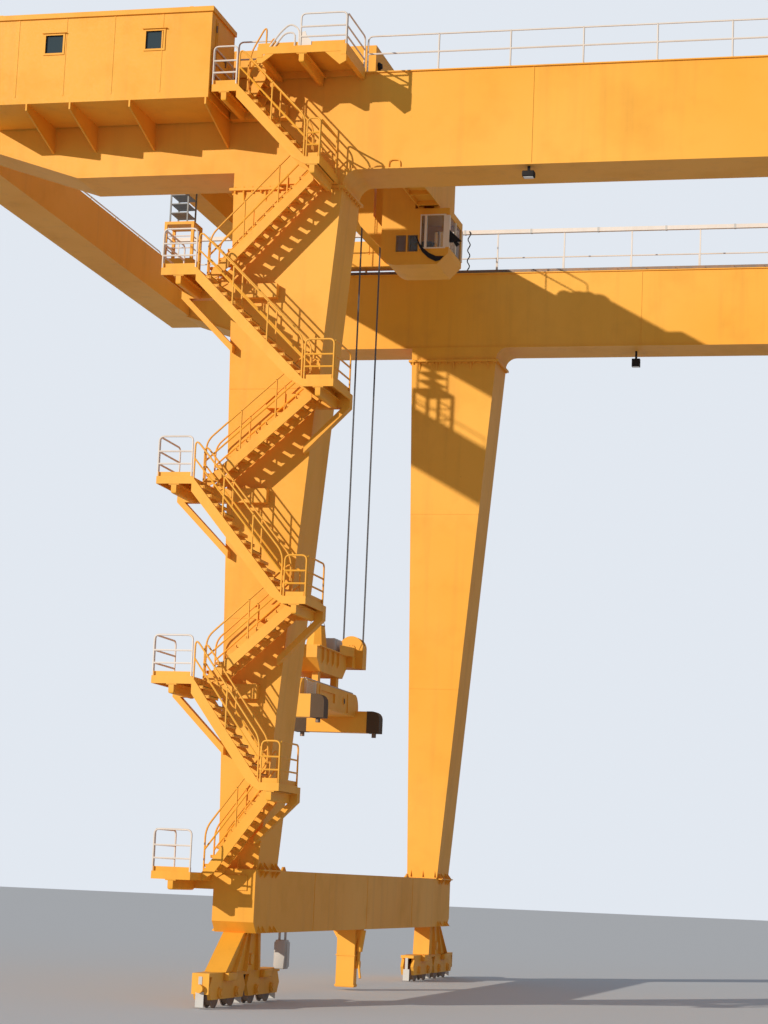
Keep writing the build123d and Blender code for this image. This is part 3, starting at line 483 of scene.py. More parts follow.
# Anchor posts: heavy box posts with a hand lever and link that drop a pin in the ground
# pocket, to hold the crane in a storm.
wear(yellow, "anchor_posts")
anchor_gear = bmesh.new()
for end in (-1, 1):
    x = end * sill_mid
    rod(anchor_gear, (x + 0.19, 0.03, 0.775), (x + 0.15, 0.03, 0.50), 0.046, 20)
    rod(anchor_gear, (x + 0.15, 0.03, 0.52), (x + 0.145, 0.03, 0.36), 0.026, 16)
    rod(anchor_gear, (x + 0.14, 0.03, 0.42), (x + 0.20, -0.05, 0.16), 0.016, 12)
    rod(anchor_gear, (x + 0.10, 0.03, 0.62), (x + 0.19, 0.03, 0.62), 0.022, 12)
    edges = block(anchor_gear, (x + 0.115, -0.01, 0.28), (x + 0.175, 0.07, 0.38))
    round_off(anchor_gear, edges, 0.012)
    block(anchor_gear, (x - 0.13, -0.09, 0.05), (x + 0.13, 0.09, 0.075))
    block(anchor_gear, (x - 0.13, -0.09, 0.44), (x + 0.13, 0.09, 0.455))
    for face in (-1, 1):
        corner = (x + face * 0.12, -0.007, sill_foot)
        gusset(anchor_gear, corner, (face * 0.10, 0, 0), (0, 0, -0.16), (0, 0.014, 0))
put(anchor_gear, "anchor_levers", "gantry", yellow)

# Electrical house: a closed cabinet of folded sheet panels with a lipped roof, two small
# windows in steel frames, a door in its right end, louvres in its left end and lugs on top.
wear(yellow, "electrical_house", "house_platform")
glazing = Finish("smoked_glazing")
tinted_glass = glazing.shade(base_color=(0.035, 0.055, 0.065, 1), roughness=0.06)
wear(tinted_glass, "house_windows")
house_low, house_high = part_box("electrical_house")
pane_low, pane_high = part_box("house_windows")
pane_size = pane_high.z - pane_low.z


def window_frame(shape, pane, front, back, width):
    """Adds the four bars of a frame round a pane, which is given by left, right, foot and head."""
    left, right, foot, head = pane
    block(shape, (left - width, front, foot - width), (right + width, back, foot))
    block(shape, (left - width, front, head), (right + width, back, head + width))
    block(shape, (left - width, front, foot), (left, back, head))
    block(shape, (right, front, foot), (right + width, back, head))


house_trim = bmesh.new()
frame_width = 0.022
for left in (pane_low.x, pane_high.x - pane_size):
    right, front, back = left + pane_size, house_low.y - 0.012, house_low.y + 0.02
    window_frame(house_trim, (left, right, pane_low.z, pane_high.z), front, back, frame_width)
    hood = pane_high.z + frame_width
    block(house_trim, (left - 0.04, front - 0.02, hood), (right + 0.04, back, hood + 0.008))
roof_low = house_high.z - 0.05
block(
    house_trim,
    (house_low.x - 0.02, house_low.y - 0.025, roof_low),
    (house_high.x + 0.02, house_high.y + 0.012, house_high.z + 0.008),
)
for share in (0.2, 0.4, 0.6, 0.8):
    x = house_low.x + share * (house_high.x - house_low.x)
    block(
        house_trim,
        (x - 0.008, house_low.y - 0.004, house_low.z), (x + 0.008, house_low.y + 0.01, roof_low),
    )
for x in (house_low.x + 0.3, house_high.x - 0.3):
    for y in (house_low.y + 0.12, house_high.y - 0.12):
        lug = ((-0.05, 0), (0.05, 0), (0.02, 0.07), (-0.02, 0.07))
        plate(house_trim, [(x + shift, y, house_high.z + rise) for shift, rise in lug], (0, 0.014, 0))
door_low, door_high = house_low.y + 0.16, house_low.y + 0.58
door_foot, door_head = house_low.z + 0.04, house_low.z + 0.90
wall = house_high.x
block(house_trim, (wall, door_low, door_foot), (wall + 0.010, door_high, door_head))
block(
    house_trim,
    (wall, door_low + 0.03, door_foot + 0.03), (wall + 0.018, door_high - 0.03, door_head - 0.03),
)
louvre_near, louvre_far, louvre_out = house_low.y + 0.2, house_high.y - 0.2, house_low.x - 0.02
for number in range(12):
    z = house_low.z + 0.25 + number * 0.045
    plate(
        house_trim,
        [
            (house_low.x, louvre_near, z), (house_low.x, louvre_far, z),
            (louvre_out, louvre_far, z - 0.03), (louvre_out, louvre_near, z - 0.03),
        ],
        (0, 0, 0.006),
    )
put(house_trim, "house_panels_and_door", "gantry", yellow)
door_gear = bmesh.new()
block(
    door_gear,
    (wall + 0.016, door_high - 0.09, door_foot + 0.40), (wall + 0.028, door_high - 0.06, door_foot + 0.50),
)
handle_z = door_foot + 0.45
rod(
    door_gear, (wall + 0.028, door_high - 0.075, handle_z), (wall + 0.028, door_high - 0.15, handle_z),
    0.006, 8,
)
for z in (door_foot + 0.12, door_head - 0.12):
    rod(door_gear, (wall + 0.012, door_low, z - 0.04), (wall + 0.012, door_low, z + 0.04), 0.009, 10)
put(door_gear, "house_door_gear", "gantry", worn_steel)

# Stair flights: folded treads with a nosing and end brackets between plate stringers, and a
# bent tube handrail with a middle rail on each side, all in the crane's yellow.
landings = (
    (-8.212, -7.767, 1.425), (-7.047, -6.822, 2.410), (-8.337, -7.872, 3.540), (-6.887, -6.622, 4.435),
    (-8.412, -7.997, 5.760), (-6.772, -6.422, 6.850), (-8.497, -8.082, 8.150), (-6.872, -6.702, 9.400),
    (-8.022, -7.722, 10.290), (-7.497, -6.447, 10.710),
)
fascia = 0.085
lane_rear = (-5.465, -5.105)
lane_front = (-5.85, -5.49)
string_depth, string_thick = 0.11, 0.016
tread_thick, tread_drop = 0.008, 0.034
tube_radius = 0.0105


def tubes(shape, runs, radius, bend=0.06):
    """Adds round tubes along runs of points, each bent at its corners."""
    path = bpy.data.curves.new("tube", "CURVE")
    path.dimensions = "3D"
    path.bevel_depth = radius
    path.bevel_resolution = 1
    path.use_fill_caps = True
    for run in runs:
        run = [Vector(point) for point in run]
        spots = [run[0]]
        for before, corner, after in zip(run, run[1:], run[2:]):
            reach = min(bend, (corner - before).length * 0.48, (after - corner).length * 0.48)
            first = corner + (before - corner).normalized() * reach
            last = corner + (after - corner).normalized() * reach
            for step in range(6):
                share = step / 5
                spots.append(first.lerp(corner, share).lerp(corner.lerp(last, share), share))
        spots.append(run[-1])
        spline = path.splines.new("POLY")
        spline.points.add(len(spots) - 1)
        for point, spot in zip(spline.points, spots):
            point.co = (*spot, 1)
    carrier = bpy.data.objects.new("tube", path)
    mesh = bpy.data.meshes.new_from_object(carrier)
    shape.from_mesh(mesh)
    bpy.data.objects.remove(carrier)
    bpy.data.meshes.remove(mesh)
    bpy.data.curves.remove(path)


def guard_rail(start, end, gap, heights):
    """Returns the tube runs of a guard rail: a bent top rail, lower rails and posts between."""
    start, end = Vector(start), Vector(end)
    top = Vector((0, 0, heights[-1]))
    count = max(1, round((end - start).length / gap))
    runs = [[start, start + top, end + top, end]]
    for height in heights[:-1]:
        lower = Vector((0, 0, height))
        runs.append([start + lower, end + lower])
    for step in range(1, count):
        foot = start.lerp(end, step / count)
        runs.append([foot, foot + top])
    return runs


for number in range(9):
    left, right, low_z = landings[number]
    next_left, next_right, high_z = landings[number + 1]
    up_right = number % 2 == 0
    start, stop = (right, next_left) if up_right else (left, next_right)
    lane = lane_rear if up_right else lane_front
    way = 1 if up_right else -1
    run, rise = abs(stop - start), high_z - low_z
    steps = round(rise / 0.1)
    going = run / steps
    drop = string_depth * math.hypot(rise, run) / run
    low_cut = min(drop, rise / 2)
    flight = bmesh.new()
    for y in (lane[0], lane[1] - string_thick):
        plate(
            flight,
            [
                (start, y, low_z), (stop, y, high_z),
                (stop, y, high_z - fascia), (stop - way * 0.001, y, high_z - drop),
                (start + way * run * low_cut / rise, y, low_z + low_cut - drop), (start, y, low_z - fascia),
            ],
            (0, string_thick, 0),
        )
    for step in range(1, steps):
        x = start + way * going * step
        top = low_z + rise * step / steps
        half = going * 0.625 + 0.01
        block(flight, (x - half, lane[0] + 0.012, top - tread_thick), (x + half, lane[1] - 0.012, top))
        for edge in (-1, 1):
            block(
                flight,
                (x + edge * half, lane[0] + 0.014, top - tread_drop),
                (x + edge * (half - 0.006), lane[1] - 0.014, top - 0.002),
            )
        for y in (lane[0] + string_thick, lane[1] - 0.036):
            block(flight, (x - half * 0.8, y, top - 0.03), (x + half * 0.8, y + 0.02, top - 0.006))
    inset = way * 0.02
    climb = rise * 0.02 / run
    for y in (lane[0] + 0.010, lane[1] - 0.010):
        foot = (start + inset, y, low_z + climb - 0.04)
        head = (stop - inset, y, high_z - climb - 0.04)
        tubes(flight, guard_rail(foot, head, 0.55, (0.265, 0.49)), tube_radius, 0.10)
    name = "stair_flight_%d" % (number + 1)
    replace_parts(put(flight, name + "_folded_treads", "gantry", yellow), name)

# Landings: trays of folded plate with a toe board, a deep tee beam under each middle whose
# rounded end shows at the front, and guard rails of bent tube, pale on the left side.
wear(yellow, "landings", "top_platform")
pale = site_paint(
    "pale_rail_paint", (0.76, 0.66, 0.57, 1), (0.82, 0.74, 0.67, 1), (0.46, 0.34, 0.24, 1),
    (0.34, 0.18, 0.09, 1), 0.45,
)
landing_heights, rail_root = (0.17, 0.31, 0.48), 0.03
toe_board, tee_depth = 0.05, 0.11
landing_beams = bmesh.new()
pale_guards = bmesh.new()
yellow_guards = bmesh.new()
for number, (left, right, z) in enumerate(landings):
    back = -4.99 if number == 9 else lane_rear[1]
    front = lane_front[0]
    left_side = number % 2 == 0 and number < 9
    shut = left + 0.01 if left_side else right - 0.01
    way = 1 if left_side else -1
    block(landing_beams, (left + 0.002, front + 0.022, z), (right - 0.002, front + 0.028, z + toe_board))
    block(landing_beams, (shut + way * 0.012, front, z), (shut + way * 0.018, back, z + toe_board))
    middle = (left + right) / 2
    foot = z - fascia
    block(landing_beams, (middle - 0.06, front + 0.004, foot - 0.012), (middle + 0.06, back, foot))
    stem = block(
        landing_beams, (middle - 0.03, front + 0.004, foot - tee_depth), (middle + 0.03, back, foot - 0.010),
    )
    front_foot = [
        edge for edge in stem
        if all(abs(corner.co.z - (foot - tee_depth)) < 1e-4 for corner in edge.verts)
    ]
    round_off(landing_beams, front_foot, 0.022, 3)
    guards = pale_guards if left_side else yellow_guards
    root = z - rail_root
    if number < 9:
        for start, end in (
            ((left + 0.01, front + 0.01, root), (right - 0.01, front + 0.01, root)),
            ((shut, front + 0.04, root), (shut, back - 0.01, root)),
        ):
            tubes(guards, guard_rail(start, end, 0.6, landing_heights), tube_radius)
platform_left, platform_right, platform_z = landings[9]
platform_heights, platform_root = (0.125, 0.243, 0.398), platform_z - 0.02
platform_front, platform_end = lane_front[0] + 0.01, platform_right - 0.01
for start, end, gap in (
    ((platform_left + 0.505, platform_front), (platform_end, platform_front), 0.6),
    ((platform_end, lane_front[0] + 0.04), (platform_end, -5.01), 0.8),
):
    run = guard_rail((*start, platform_root), (*end, platform_root), gap, platform_heights)
    tubes(pale_guards, run, tube_radius)
put(landing_beams, "landing_tee_beams_and_toe_boards", "gantry", yellow)
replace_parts(put(pale_guards, "landing_guards_left", "gantry", pale), "landing_rails")
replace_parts(put(yellow_guards, "landing_guards_right", "gantry", yellow), "landing_rails")

# Top platform's fittings: a hooped grab rail over the last flight's head, a bracket plate at
# each end of the fascia and a small pointed marker plate on the edge.
platform_bits = bmesh.new()
hoop_y = lane_front[0] + 0.012
tubes(
    platform_bits,
    [[(x, hoop_y, platform_z + rise) for x, rise in run] for run in (
        ((-7.42, -0.10), (-7.235, 0.17), (-7.12, 0.27), (-7.01, 0.20), (-7.01, -0.02)),
        ((-7.33, -0.04), (-7.18, 0.16), (-7.06, 0.16), (-7.06, 0)),
    )],
    tube_radius, 0.09,
)
plate(
    platform_bits,
    [(x, hoop_y, platform_z + rise) for x, rise in (
        (-7.0, 0), (-6.865, 0), (-6.865, 0.05), (-6.92, 0.11), (-6.94, 0.17), (-7.0, 0.16),
    )],
    (0, 0.012, 0),
)
put(platform_bits, "platform_grab_rail", "gantry", pale)
platform_plates = bmesh.new()
for outline in (
    ((-6.70, -fascia), (platform_right, -fascia), (platform_right, -0.20), (-6.52, -0.24)),
    ((platform_left, -fascia), (-7.30, -fascia), (-7.44, -0.19), (platform_left, -0.19)),
):
    plate(platform_plates, [(x, -5.846, platform_z + rise) for x, rise in outline], (0, 0.02, 0))
put(platform_plates, "platform_bracket_plates", "gantry", yellow)

# Walkway railings: round posts on bolted feet with two tube rails, bent down at every end,
# in pale paint along both girders and across their end beams.
walk_heights = (0.215, 0.430)
walk_y, tip_x = 4.97, 12.132
walkway = bmesh.new()
walk_runs = []
for start, end, gap in (
    ((-6.427, -walk_y), (tip_x, -walk_y), 0.83), ((-8.002, -walk_y), (-7.537, -walk_y), 0.83),
    ((-tip_x, -walk_y), (-11.032, -walk_y), 0.83), ((-tip_x, walk_y), (tip_x, walk_y), 1.04),
    ((-tip_x, -4.17), (-tip_x, 4.17), 1.04), ((tip_x, -4.17), (tip_x, 4.17), 1.04),
):
    walk_runs += guard_rail((*start, girder_head), (*end, girder_head), gap, walk_heights)
tubes(walkway, walk_runs, tube_radius)
for run in walk_runs:
    if abs(run[0][2] - girder_head) < 1e-4:
        for x, y, z in {tuple(run[0]), tuple(run[-1])}:
            if abs(z - girder_head) < 1e-4:
                rod(walkway, (x, y, girder_head), (x, y, girder_head + 0.008), 0.017, 12)
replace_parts(put(walkway, "walkway_tube_railings", "gantry", pale), "walkway_railings")

# Power rail: a cable trough with a lid and joint straps on posts along the far girder, and a
# supply cable that drops from it in waves.
wear(pale, "power_rail")
trough_low, trough_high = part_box("power_rail")
straps = bmesh.new()
for number in range(22):
    x = trough_low.x + 0.67 + number * 1.04
    block(
        straps,
        (x - 0.014, trough_low.y - 0.004, trough_high.z - 0.064),
        (x + 0.014, trough_high.y + 0.004, trough_high.z + 0.004),
    )
put(straps, "trough_straps", "gantry", galvanised)
# Black rubber for the cables, buffers, lamps and seat; the same black is also used for the painted shade on
# the cab's sides.
rubber = Finish("dark_rubber_and_painted_shade")
cable_grain = rubber.noise(90, 3)
rubber_black_and_shade = rubber.shade(
    base_color=(0.022, 0.02, 0.02, 1), roughness=rubber.band(cable_grain, 0.3, 0.7) * 0.15 + 0.7,
    specular_ior_level=0.2,
)
supply = bmesh.new()
supply_run = [
    (-7.19 + 0.02 * math.sin(step * 1.1), trough_low.y - 0.012, trough_high.z - 0.02 - step * 0.03)
    for step in range(22)
]
tubes(supply, [supply_run], 0.009, 0.01)
put(supply, "power_supply_cable", "gantry", rubber_black_and_shade)

# Girder lamps and hose: floodlights on brackets under the far girder with pale lenses, a small
# lamp under the near one, and a loop of yellow conduit at the near web's foot.
wear(rubber_black_and_shade, "floodlights")
lens = Finish("lamp_lens")
lamp_glass = lens.shade(base_color=(0.75, 0.74, 0.70, 1), roughness=0.15)
lenses = bmesh.new()
for x in (-4.572, 4.572):
    block(lenses, (x - 0.05, 4.56, 9.256), (x + 0.05, 4.64, 9.262))
block(lenses, (-4.55, -4.94, 9.366), (-4.44, -4.86, 9.372))
put(lenses, "girder_lamp_lenses", "gantry", lamp_glass)
near_lamp = bmesh.new()
edges = block(near_lamp, (-4.565, -4.955, 9.37), (-4.425, -4.845, 9.44))
round_off(near_lamp, edges, 0.012)
block(near_lamp, (-4.51, -4.915, 9.43), (-4.48, -4.885, 9.505))
put(near_lamp, "near_girder_lamp", "gantry", rubber_black_and_shade)
conduit = bmesh.new()
tubes(
    conduit,
    [[(-6.12, -4.985, 9.50), (-6.12, -4.985, 9.605), (-5.985, -4.985, 9.605), (-5.985, -4.985, 9.50)]],
    0.007, 0.07,
)
put(conduit, "girder_conduit_loop", "gantry", yellow)

# Trolley: plate carriages on flanged wheels, joined by cross beams under a deck plate. Bearing
# caps are bolted over the axles, and rubber buffers stand on the carriages' ends.
wear(yellow, "trolley_carriages", "trolley_beams", "trolley_deck", "cab_beam", "cab_hangers", "drum_stands")
wear(worn_steel, "trolley_wheels")
hoist_x = -7.922
deck_top = 11.224
carriage_left, carriage_half = hoist_x - 2.55, 0.135
carriage_gear = bmesh.new()
buffers = bmesh.new()
for y, right, axles in ((-rail_line, 1.449, (-1.95, 1.0)), (rail_line, 0.525, (-1.95, 0.225))):
    length = hoist_x + right - carriage_left
    count = round(length / 0.45)
    for face in (-1, 1):
        wall = y + face * carriage_half
        for place in axles:
            cap = (hoist_x + place, wall, 10.86)
            bolted_cap(carriage_gear, cap, (0, face, 0), 0.058, 0.014, 0.045, 0.012)
        for number in range(1, count):
            x = carriage_left + length * number / count
            block(carriage_gear, (x - 0.006, wall, 10.99), (x + 0.006, wall + face * 0.012, 11.19))
    for end, face in ((carriage_left, -1), (carriage_left + length, 1)):
        rod(buffers, (end, y, 10.98), (end + face * 0.02, y, 10.98), 0.05, 20)
        rod(buffers, (end + face * 0.02, y, 10.98), (end + face * 0.045, y, 10.98), 0.04, 20, 0.03)
put(carriage_gear, "carriage_bearings_and_ribs", "trolley", yellow)
put(buffers, "carriage_buffers", "trolley", rubber_black_and_shade)
deck_guards = bmesh.new()
deck_left, deck_right, deck_half = hoist_x - 2.53, hoist_x + 0.505, 2.955
deck_runs = []
for start, end in (
    ((deck_left, -deck_half), (deck_left, deck_half)),
    ((deck_left + 0.04, deck_half), (deck_right, deck_half)),
    ((deck_right, 0.9), (deck_right, deck_half - 0.04)),
):
    deck_runs += guard_rail((*start, deck_top), (*end, deck_top), 1.0, (0.225, 0.45))
tubes(deck_guards, deck_runs, tube_radius)
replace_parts(put(deck_guards, "deck_tube_railing", "trolley", pale), "deck_railing")

# Hoist machinery: rope drums on bearing stands, each turned through a gearbox by a finned
# motor, in grey machine paint, with the wire rope wound in one layer.
machine_grey = site_paint(
    "machine_grey", (0.20, 0.22, 0.23, 1), (0.26, 0.28, 0.29, 1), (0.12, 0.10, 0.08, 1),
    (0.20, 0.10, 0.05, 1), 0.4,
)
wear(machine_grey, "drum_motors", "hoist_drums")
drum_z, drum_places = 11.524, (-0.315, 0.315)
greased = Finish("greased_wire_rope")
strand_place = greased.node("ShaderNodeMapping", inputs={
    "Vector": greased.place, "Rotation": (0.0, 0.6, 0.0),
})
strands = greased.node(
    "ShaderNodeTexWave", {"bands_direction": "Z"},
    {"Vector": strand_place, "Scale": 24.0, "Distortion": 0.4}, 1,
)
wire_rope = greased.shade(
    base_color=greased.mix(strands, (0.05, 0.05, 0.055, 1), (0.20, 0.20, 0.21, 1)),
    metallic=0.4, roughness=0.45, normal=greased.bump(strands, 0.5, 0.004),
)
turn_reach, turn_pitch = 0.163, 0.030
rope_turns = bmesh.new()
for place in drum_places:
    for number in range(72):
        centre = Vector((hoist_x + place, -1.895 + number * turn_pitch, drum_z))
        circle = bmesh.ops.create_circle(
            rope_turns, cap_ends=False, segments=6, radius=0.011,
            matrix=Matrix.Translation(centre + Vector((turn_reach, 0, 0))),
        )["verts"]
        bmesh.ops.spin(
            rope_turns, geom=list({edge for corner in circle for edge in corner.link_edges}),
            cent=centre, axis=(0, 1, 0), angle=2 * math.pi, steps=20, use_merge=True,
        )
put(rope_turns, "rope_on_drums", "trolley", wire_rope)
motor_z = 11.374
machine_bits = bmesh.new()
for place in drum_places:
    x = hoist_x + place
    for number in range(13):
        y = 0.80 + number * 0.027
        rod(machine_bits, (x, y, motor_z), (x, y + 0.008, motor_z), 0.121, 20)
    rod(machine_bits, (x, 1.188, motor_z), (x, 1.215, motor_z), 0.085, 20)
    edges = block(machine_bits, (x + 0.07, 0.86, 11.46), (x + 0.16, 1.02, 11.53))
    round_off(machine_bits, edges, 0.010)
    for level_z in (11.29, 11.45):
        for face in (-1, 1):
            block(
                machine_bits,
                (x + face * 0.148, 0.526, level_z - 0.01), (x + face * 0.162, 0.774, level_z + 0.01),
            )
    for y in (-2.04, 0.44):
        rod(machine_bits, (x, y - 0.055, drum_z), (x, y + 0.055, drum_z), 0.072, 24)
        for shift in (-0.12, 0.12):
            rod(machine_bits, (x + shift, y, 11.25), (x + shift, y, 11.27), 0.014, 6)
put(machine_bits, "motor_fins_and_bearings", "trolley", machine_grey)

# Hoist ropes: laid steel wire ropes in pairs, straight from their sockets under the cross beams
# to the sheaves. They are baked in place and ride neither body, and short leads run on up to the
# drums.
rope_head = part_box("hoist_ropes")[1].z
sheave_z, rope_half = 4.46, 0.0058
fall_places = ((-0.27, -1.8), (0.27, 0.2))
falls = bmesh.new()
leads = bmesh.new()
sockets = bmesh.new()
for block_x, block_y in fall_places:
    for edge in (-0.135, 0.135):
        x = hoist_x + block_x + edge
        for shift in (-0.022, 0.022):
            y = block_y + shift
            rod(falls, (x, y, sheave_z), (x, y, rope_head), rope_half, 10)
            if abs(block_x + edge) < 0.2:
                rod(leads, (x, y, rope_head - 0.001), (x, y, drum_z), rope_half, 10)
            else:
                rod(sockets, (x, y, rope_head - 0.12), (x, y, rope_head - 0.005), 0.009, 12, 0.019)
        if abs(block_x + edge) > 0.2:
            block(
                sockets,
                (x - 0.05, block_y - 0.06, rope_head - 0.012), (x + 0.05, block_y + 0.06, rope_head),
            )
ropes = put(falls, "hoist_rope_falls", None, wire_rope)
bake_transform(ropes)
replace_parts(ropes, "hoist_ropes")
put(leads, "rope_leads", "trolley", wire_rope)
put(sockets, "rope_sockets", "trolley", worn_steel)

# Operator's cab: a welded sheet shell with a rounded rear foot, tall at the back and glazed at
# the front between cream posts, with a seat, two desks and a lamp at its front corner.
wear(yellow, "operator_cab")
cab_glazing = Finish("cab_glazing")
clear_glass = cab_glazing.shade(base_color=(0.36, 0.44, 0.48, 1), roughness=0.04, alpha=0.16)
wear(clear_glass, "cab_glass")
cab_right = hoist_x + 1.59
cab_near, cab_far = -0.785, 0.035
cab_foot = 9.485
window = (hoist_x + 1.215, hoist_x + 1.53, 9.715, 10.15)
band = (hoist_x + 0.872, hoist_x + 1.175, 9.66, 9.89)
cream = site_paint(
    "cream_window_paint", (0.86, 0.70, 0.50, 1), (0.90, 0.77, 0.58, 1), (0.52, 0.38, 0.24, 1),
    (0.30, 0.16, 0.08, 1), 0.4,
)
cab_frames = bmesh.new()
cab_posts = bmesh.new()
for y, out in ((cab_near, -1), (cab_far, 1)):
    front, back = y + out * 0.010, y - out * 0.002
    window_frame(cab_posts, window, front, back, 0.016)
    window_frame(cab_frames, band, front, back, 0.016)
    middle = (band[0] + band[1]) / 2
    block(cab_frames, (middle - 0.010, front, band[2]), (middle + 0.010, back, band[3]))
    for left, right, front, back in (
        (window[1] - 0.012, cab_right + 0.008, 0.012, -0.050),
        (window[0] + 0.045, window[0] + 0.072, 0.010, -0.048),
    ):
        block(cab_posts, (left, y + out * front, window[2]), (right, y + out * back, window[3]))
put(cab_frames, "cab_window_frames", "trolley", yellow)
block(cab_posts, (cab_right - 0.02, -0.390, window[2]), (cab_right + 0.006, -0.360, window[3]))
put(cab_posts, "cab_window_posts", "trolley", cream)
cab_room = bmesh.new()
seat_x, seat_y = hoist_x + 1.13, -0.375
edges = block(cab_room, (seat_x - 0.12, seat_y - 0.12, 9.70), (seat_x + 0.12, seat_y + 0.12, 9.76))
edges |= block(cab_room, (seat_x - 0.15, seat_y - 0.11, 9.74), (seat_x - 0.09, seat_y + 0.11, 10.02))
round_off(cab_room, edges, 0.02)
rod(cab_room, (seat_x, seat_y, cab_foot + 0.03), (seat_x, seat_y, 9.70), 0.04, 16)
for y in (seat_y - 0.21, seat_y + 0.21):
    edges = block(cab_room, (seat_x - 0.08, y - 0.05, 9.515), (seat_x + 0.20, y + 0.05, 9.84))
    round_off(cab_room, edges, 0.012)
    rod(cab_room, (seat_x + 0.10, y, 9.83), (seat_x + 0.11, y, 9.93), 0.008, 10)
    knob = Matrix.Translation((seat_x + 0.11, y, 9.935))
    bmesh.ops.create_icosphere(cab_room, subdivisions=2, radius=0.016, matrix=knob)
put(cab_room, "cab_seat_and_desks", "trolley", rubber_black_and_shade)
lamp_bracket = ((0.008, 9.95), (0.17, 9.795), (0.008, 9.785))
lamp_y = cab_near + 0.025
cab_lamp = bmesh.new()
plate(cab_lamp, [(cab_right + x, cab_near, z) for x, z in lamp_bracket], (0, 0.05, 0))
rod(cab_lamp, (cab_right + 0.08, lamp_y, 9.79), (cab_right + 0.12, lamp_y, 9.74), 0.020, 16, 0.028)
# Painted shade: a thin dark crescent sheet on each cab side, under the front window, stands in for the shade
# on the cab's lower front.
shade_crescent = (
    (-0.432, 9.860), (-0.392, 9.775), (-0.335, 9.700), (-0.255, 9.635), (-0.160, 9.590), (-0.055, 9.590),
    (-0.105, 9.535), (-0.165, 9.520), (-0.265, 9.570), (-0.350, 9.650), (-0.405, 9.745), (-0.440, 9.860),
)
for y in (cab_near - 0.014, cab_far + 0.010):
    plate(cab_lamp, [(cab_right + x, y, z) for x, z in shade_crescent], (0, 0.004, 0))
put(cab_lamp, "cab_lamp_and_shade_crescents", "trolley", rubber_black_and_shade)

# Service ladder and platform under the trolley's left end: flat rungs between square posts,
# down to a small framed platform with tube rails on its open sides.
wear(yellow, "service_platform")
wear(machine_grey, "service_ladder")
service_low, service_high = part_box("service_platform")
service = bmesh.new()
left, right = service_low.x + 0.02, service_high.x - 0.02
near, far = service_low.y + 0.02, service_high.y - 0.02
service_runs = [
    [(x, y, service_low.z + height) for x, y in ((left, far), (left, near), (right, near), (right, far))]
    for height in (0.28, 0.45)
]
tubes(service, service_runs, 0.009, 0.03)
put(service, "service_platform_rails", "trolley", pale)

# Headblock: a tapered box under the rope sheaves and the cable tub, locked by four pins to
# the spreader, with a rim plate, ribs, a lit wedge bracket and a grey terminal box on top.
wear(yellow, "headblock", "headblock_locks", "sheave_guards", "cable_basket", "spreader_frame")
wear(worn_steel, "headblock_sheaves", "twistlocks")
head_top = 4.34
terminal = bmesh.new()
edges = block(terminal, (hoist_x - 0.04, -0.45, head_top), (hoist_x + 0.20, -0.10, head_top + 0.20))
round_off(terminal, edges, 0.02)
block(terminal, (hoist_x + 0.198, -0.42, head_top + 0.03), (hoist_x + 0.208, -0.13, head_top + 0.17))
put(terminal, "headblock_terminal_box", "spreader", galvanised)
head_trim = bmesh.new()
for face in (-1, 1):
    wall = hoist_x + face * 0.26
    for y in (-1.30, -1.05, -0.80, -0.55):
        plate(
            head_trim,
            [
                (wall, y, head_top - 0.004), (wall + face * 0.03, y, head_top - 0.004),
                (wall + face * 0.03, y, head_top - 0.16), (wall, y, head_top - 0.22),
            ],
            (0, 0.014, 0),
        )
    block(
        head_trim,
        (wall - face * 0.002, -1.55, head_top - 0.014), (wall + face * 0.035, -0.05, head_top),
    )
wedge_corner = (hoist_x + 0.26, -0.06, head_top - 0.01)
gusset(head_trim, wedge_corner, (0.10, 0, 0), (0, -0.38, 0), (0, 0, 0.12))
for block_x, block_y in fall_places:
    x = hoist_x + block_x
    for face in (-1, 1):
        cap = (x, block_y + face * 0.10, sheave_z)
        bolted_cap(head_trim, cap, (0, face, 0), 0.055, 0.018, 0.042, 0.01)
put(head_trim, "headblock_ribs_and_caps", "spreader", yellow)

# Cable tub: an eight-sided sheet tub with a bound mouth and wire hoops that guide the
# spreader's cable down into it, and the cable coiled inside.
tub_low, tub_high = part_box("cable_basket")
tub_x, tub_y = (tub_low.x + tub_high.x) / 2, (tub_low.y + tub_high.y) / 2
mouth = 0.100
tub_wires = bmesh.new()
rim = [
    (tub_x + mouth * math.cos(turn * math.pi / 8), tub_y + mouth * math.sin(turn * math.pi / 8), tub_high.z)
    for turn in range(17)
]
tubes(tub_wires, [rim], 0.007, 0.01)
hoop_runs = []
for turn in (0.3, 1.35, 2.4):
    reach = Vector((mouth * math.cos(turn), mouth * math.sin(turn), 0))
    foot = Vector((tub_x, tub_y, tub_high.z))
    crown = foot + Vector((0, 0, 0.19))
    hoop_runs.append([foot - reach, crown - reach * 0.35, crown + reach * 0.35, foot + reach])
tubes(tub_wires, hoop_runs, 0.005, 0.06)
rod(tub_wires, (tub_x, tub_y, tub_high.z + 0.17), (tub_x, tub_y, tub_high.z + 0.21), 0.018, 12)
put(tub_wires, "cable_tub_hoops", "spreader", worn_steel)
coil = bmesh.new()
coil_run = [
    (
        tub_x + 0.075 * math.cos(step * 0.5), tub_y + 0.075 * math.sin(step * 0.5),
        tub_low.z + 0.03 + step * 0.0013,
    )
    for step in range(160)
]
tubes(coil, [coil_run + [(tub_x, tub_y, tub_high.z + 0.02), (tub_x, tub_y, tub_high.z + 0.18)]], 0.008, 0.02)
put(coil, "coiled_spreader_cable", "spreader", rubber_black_and_shade)
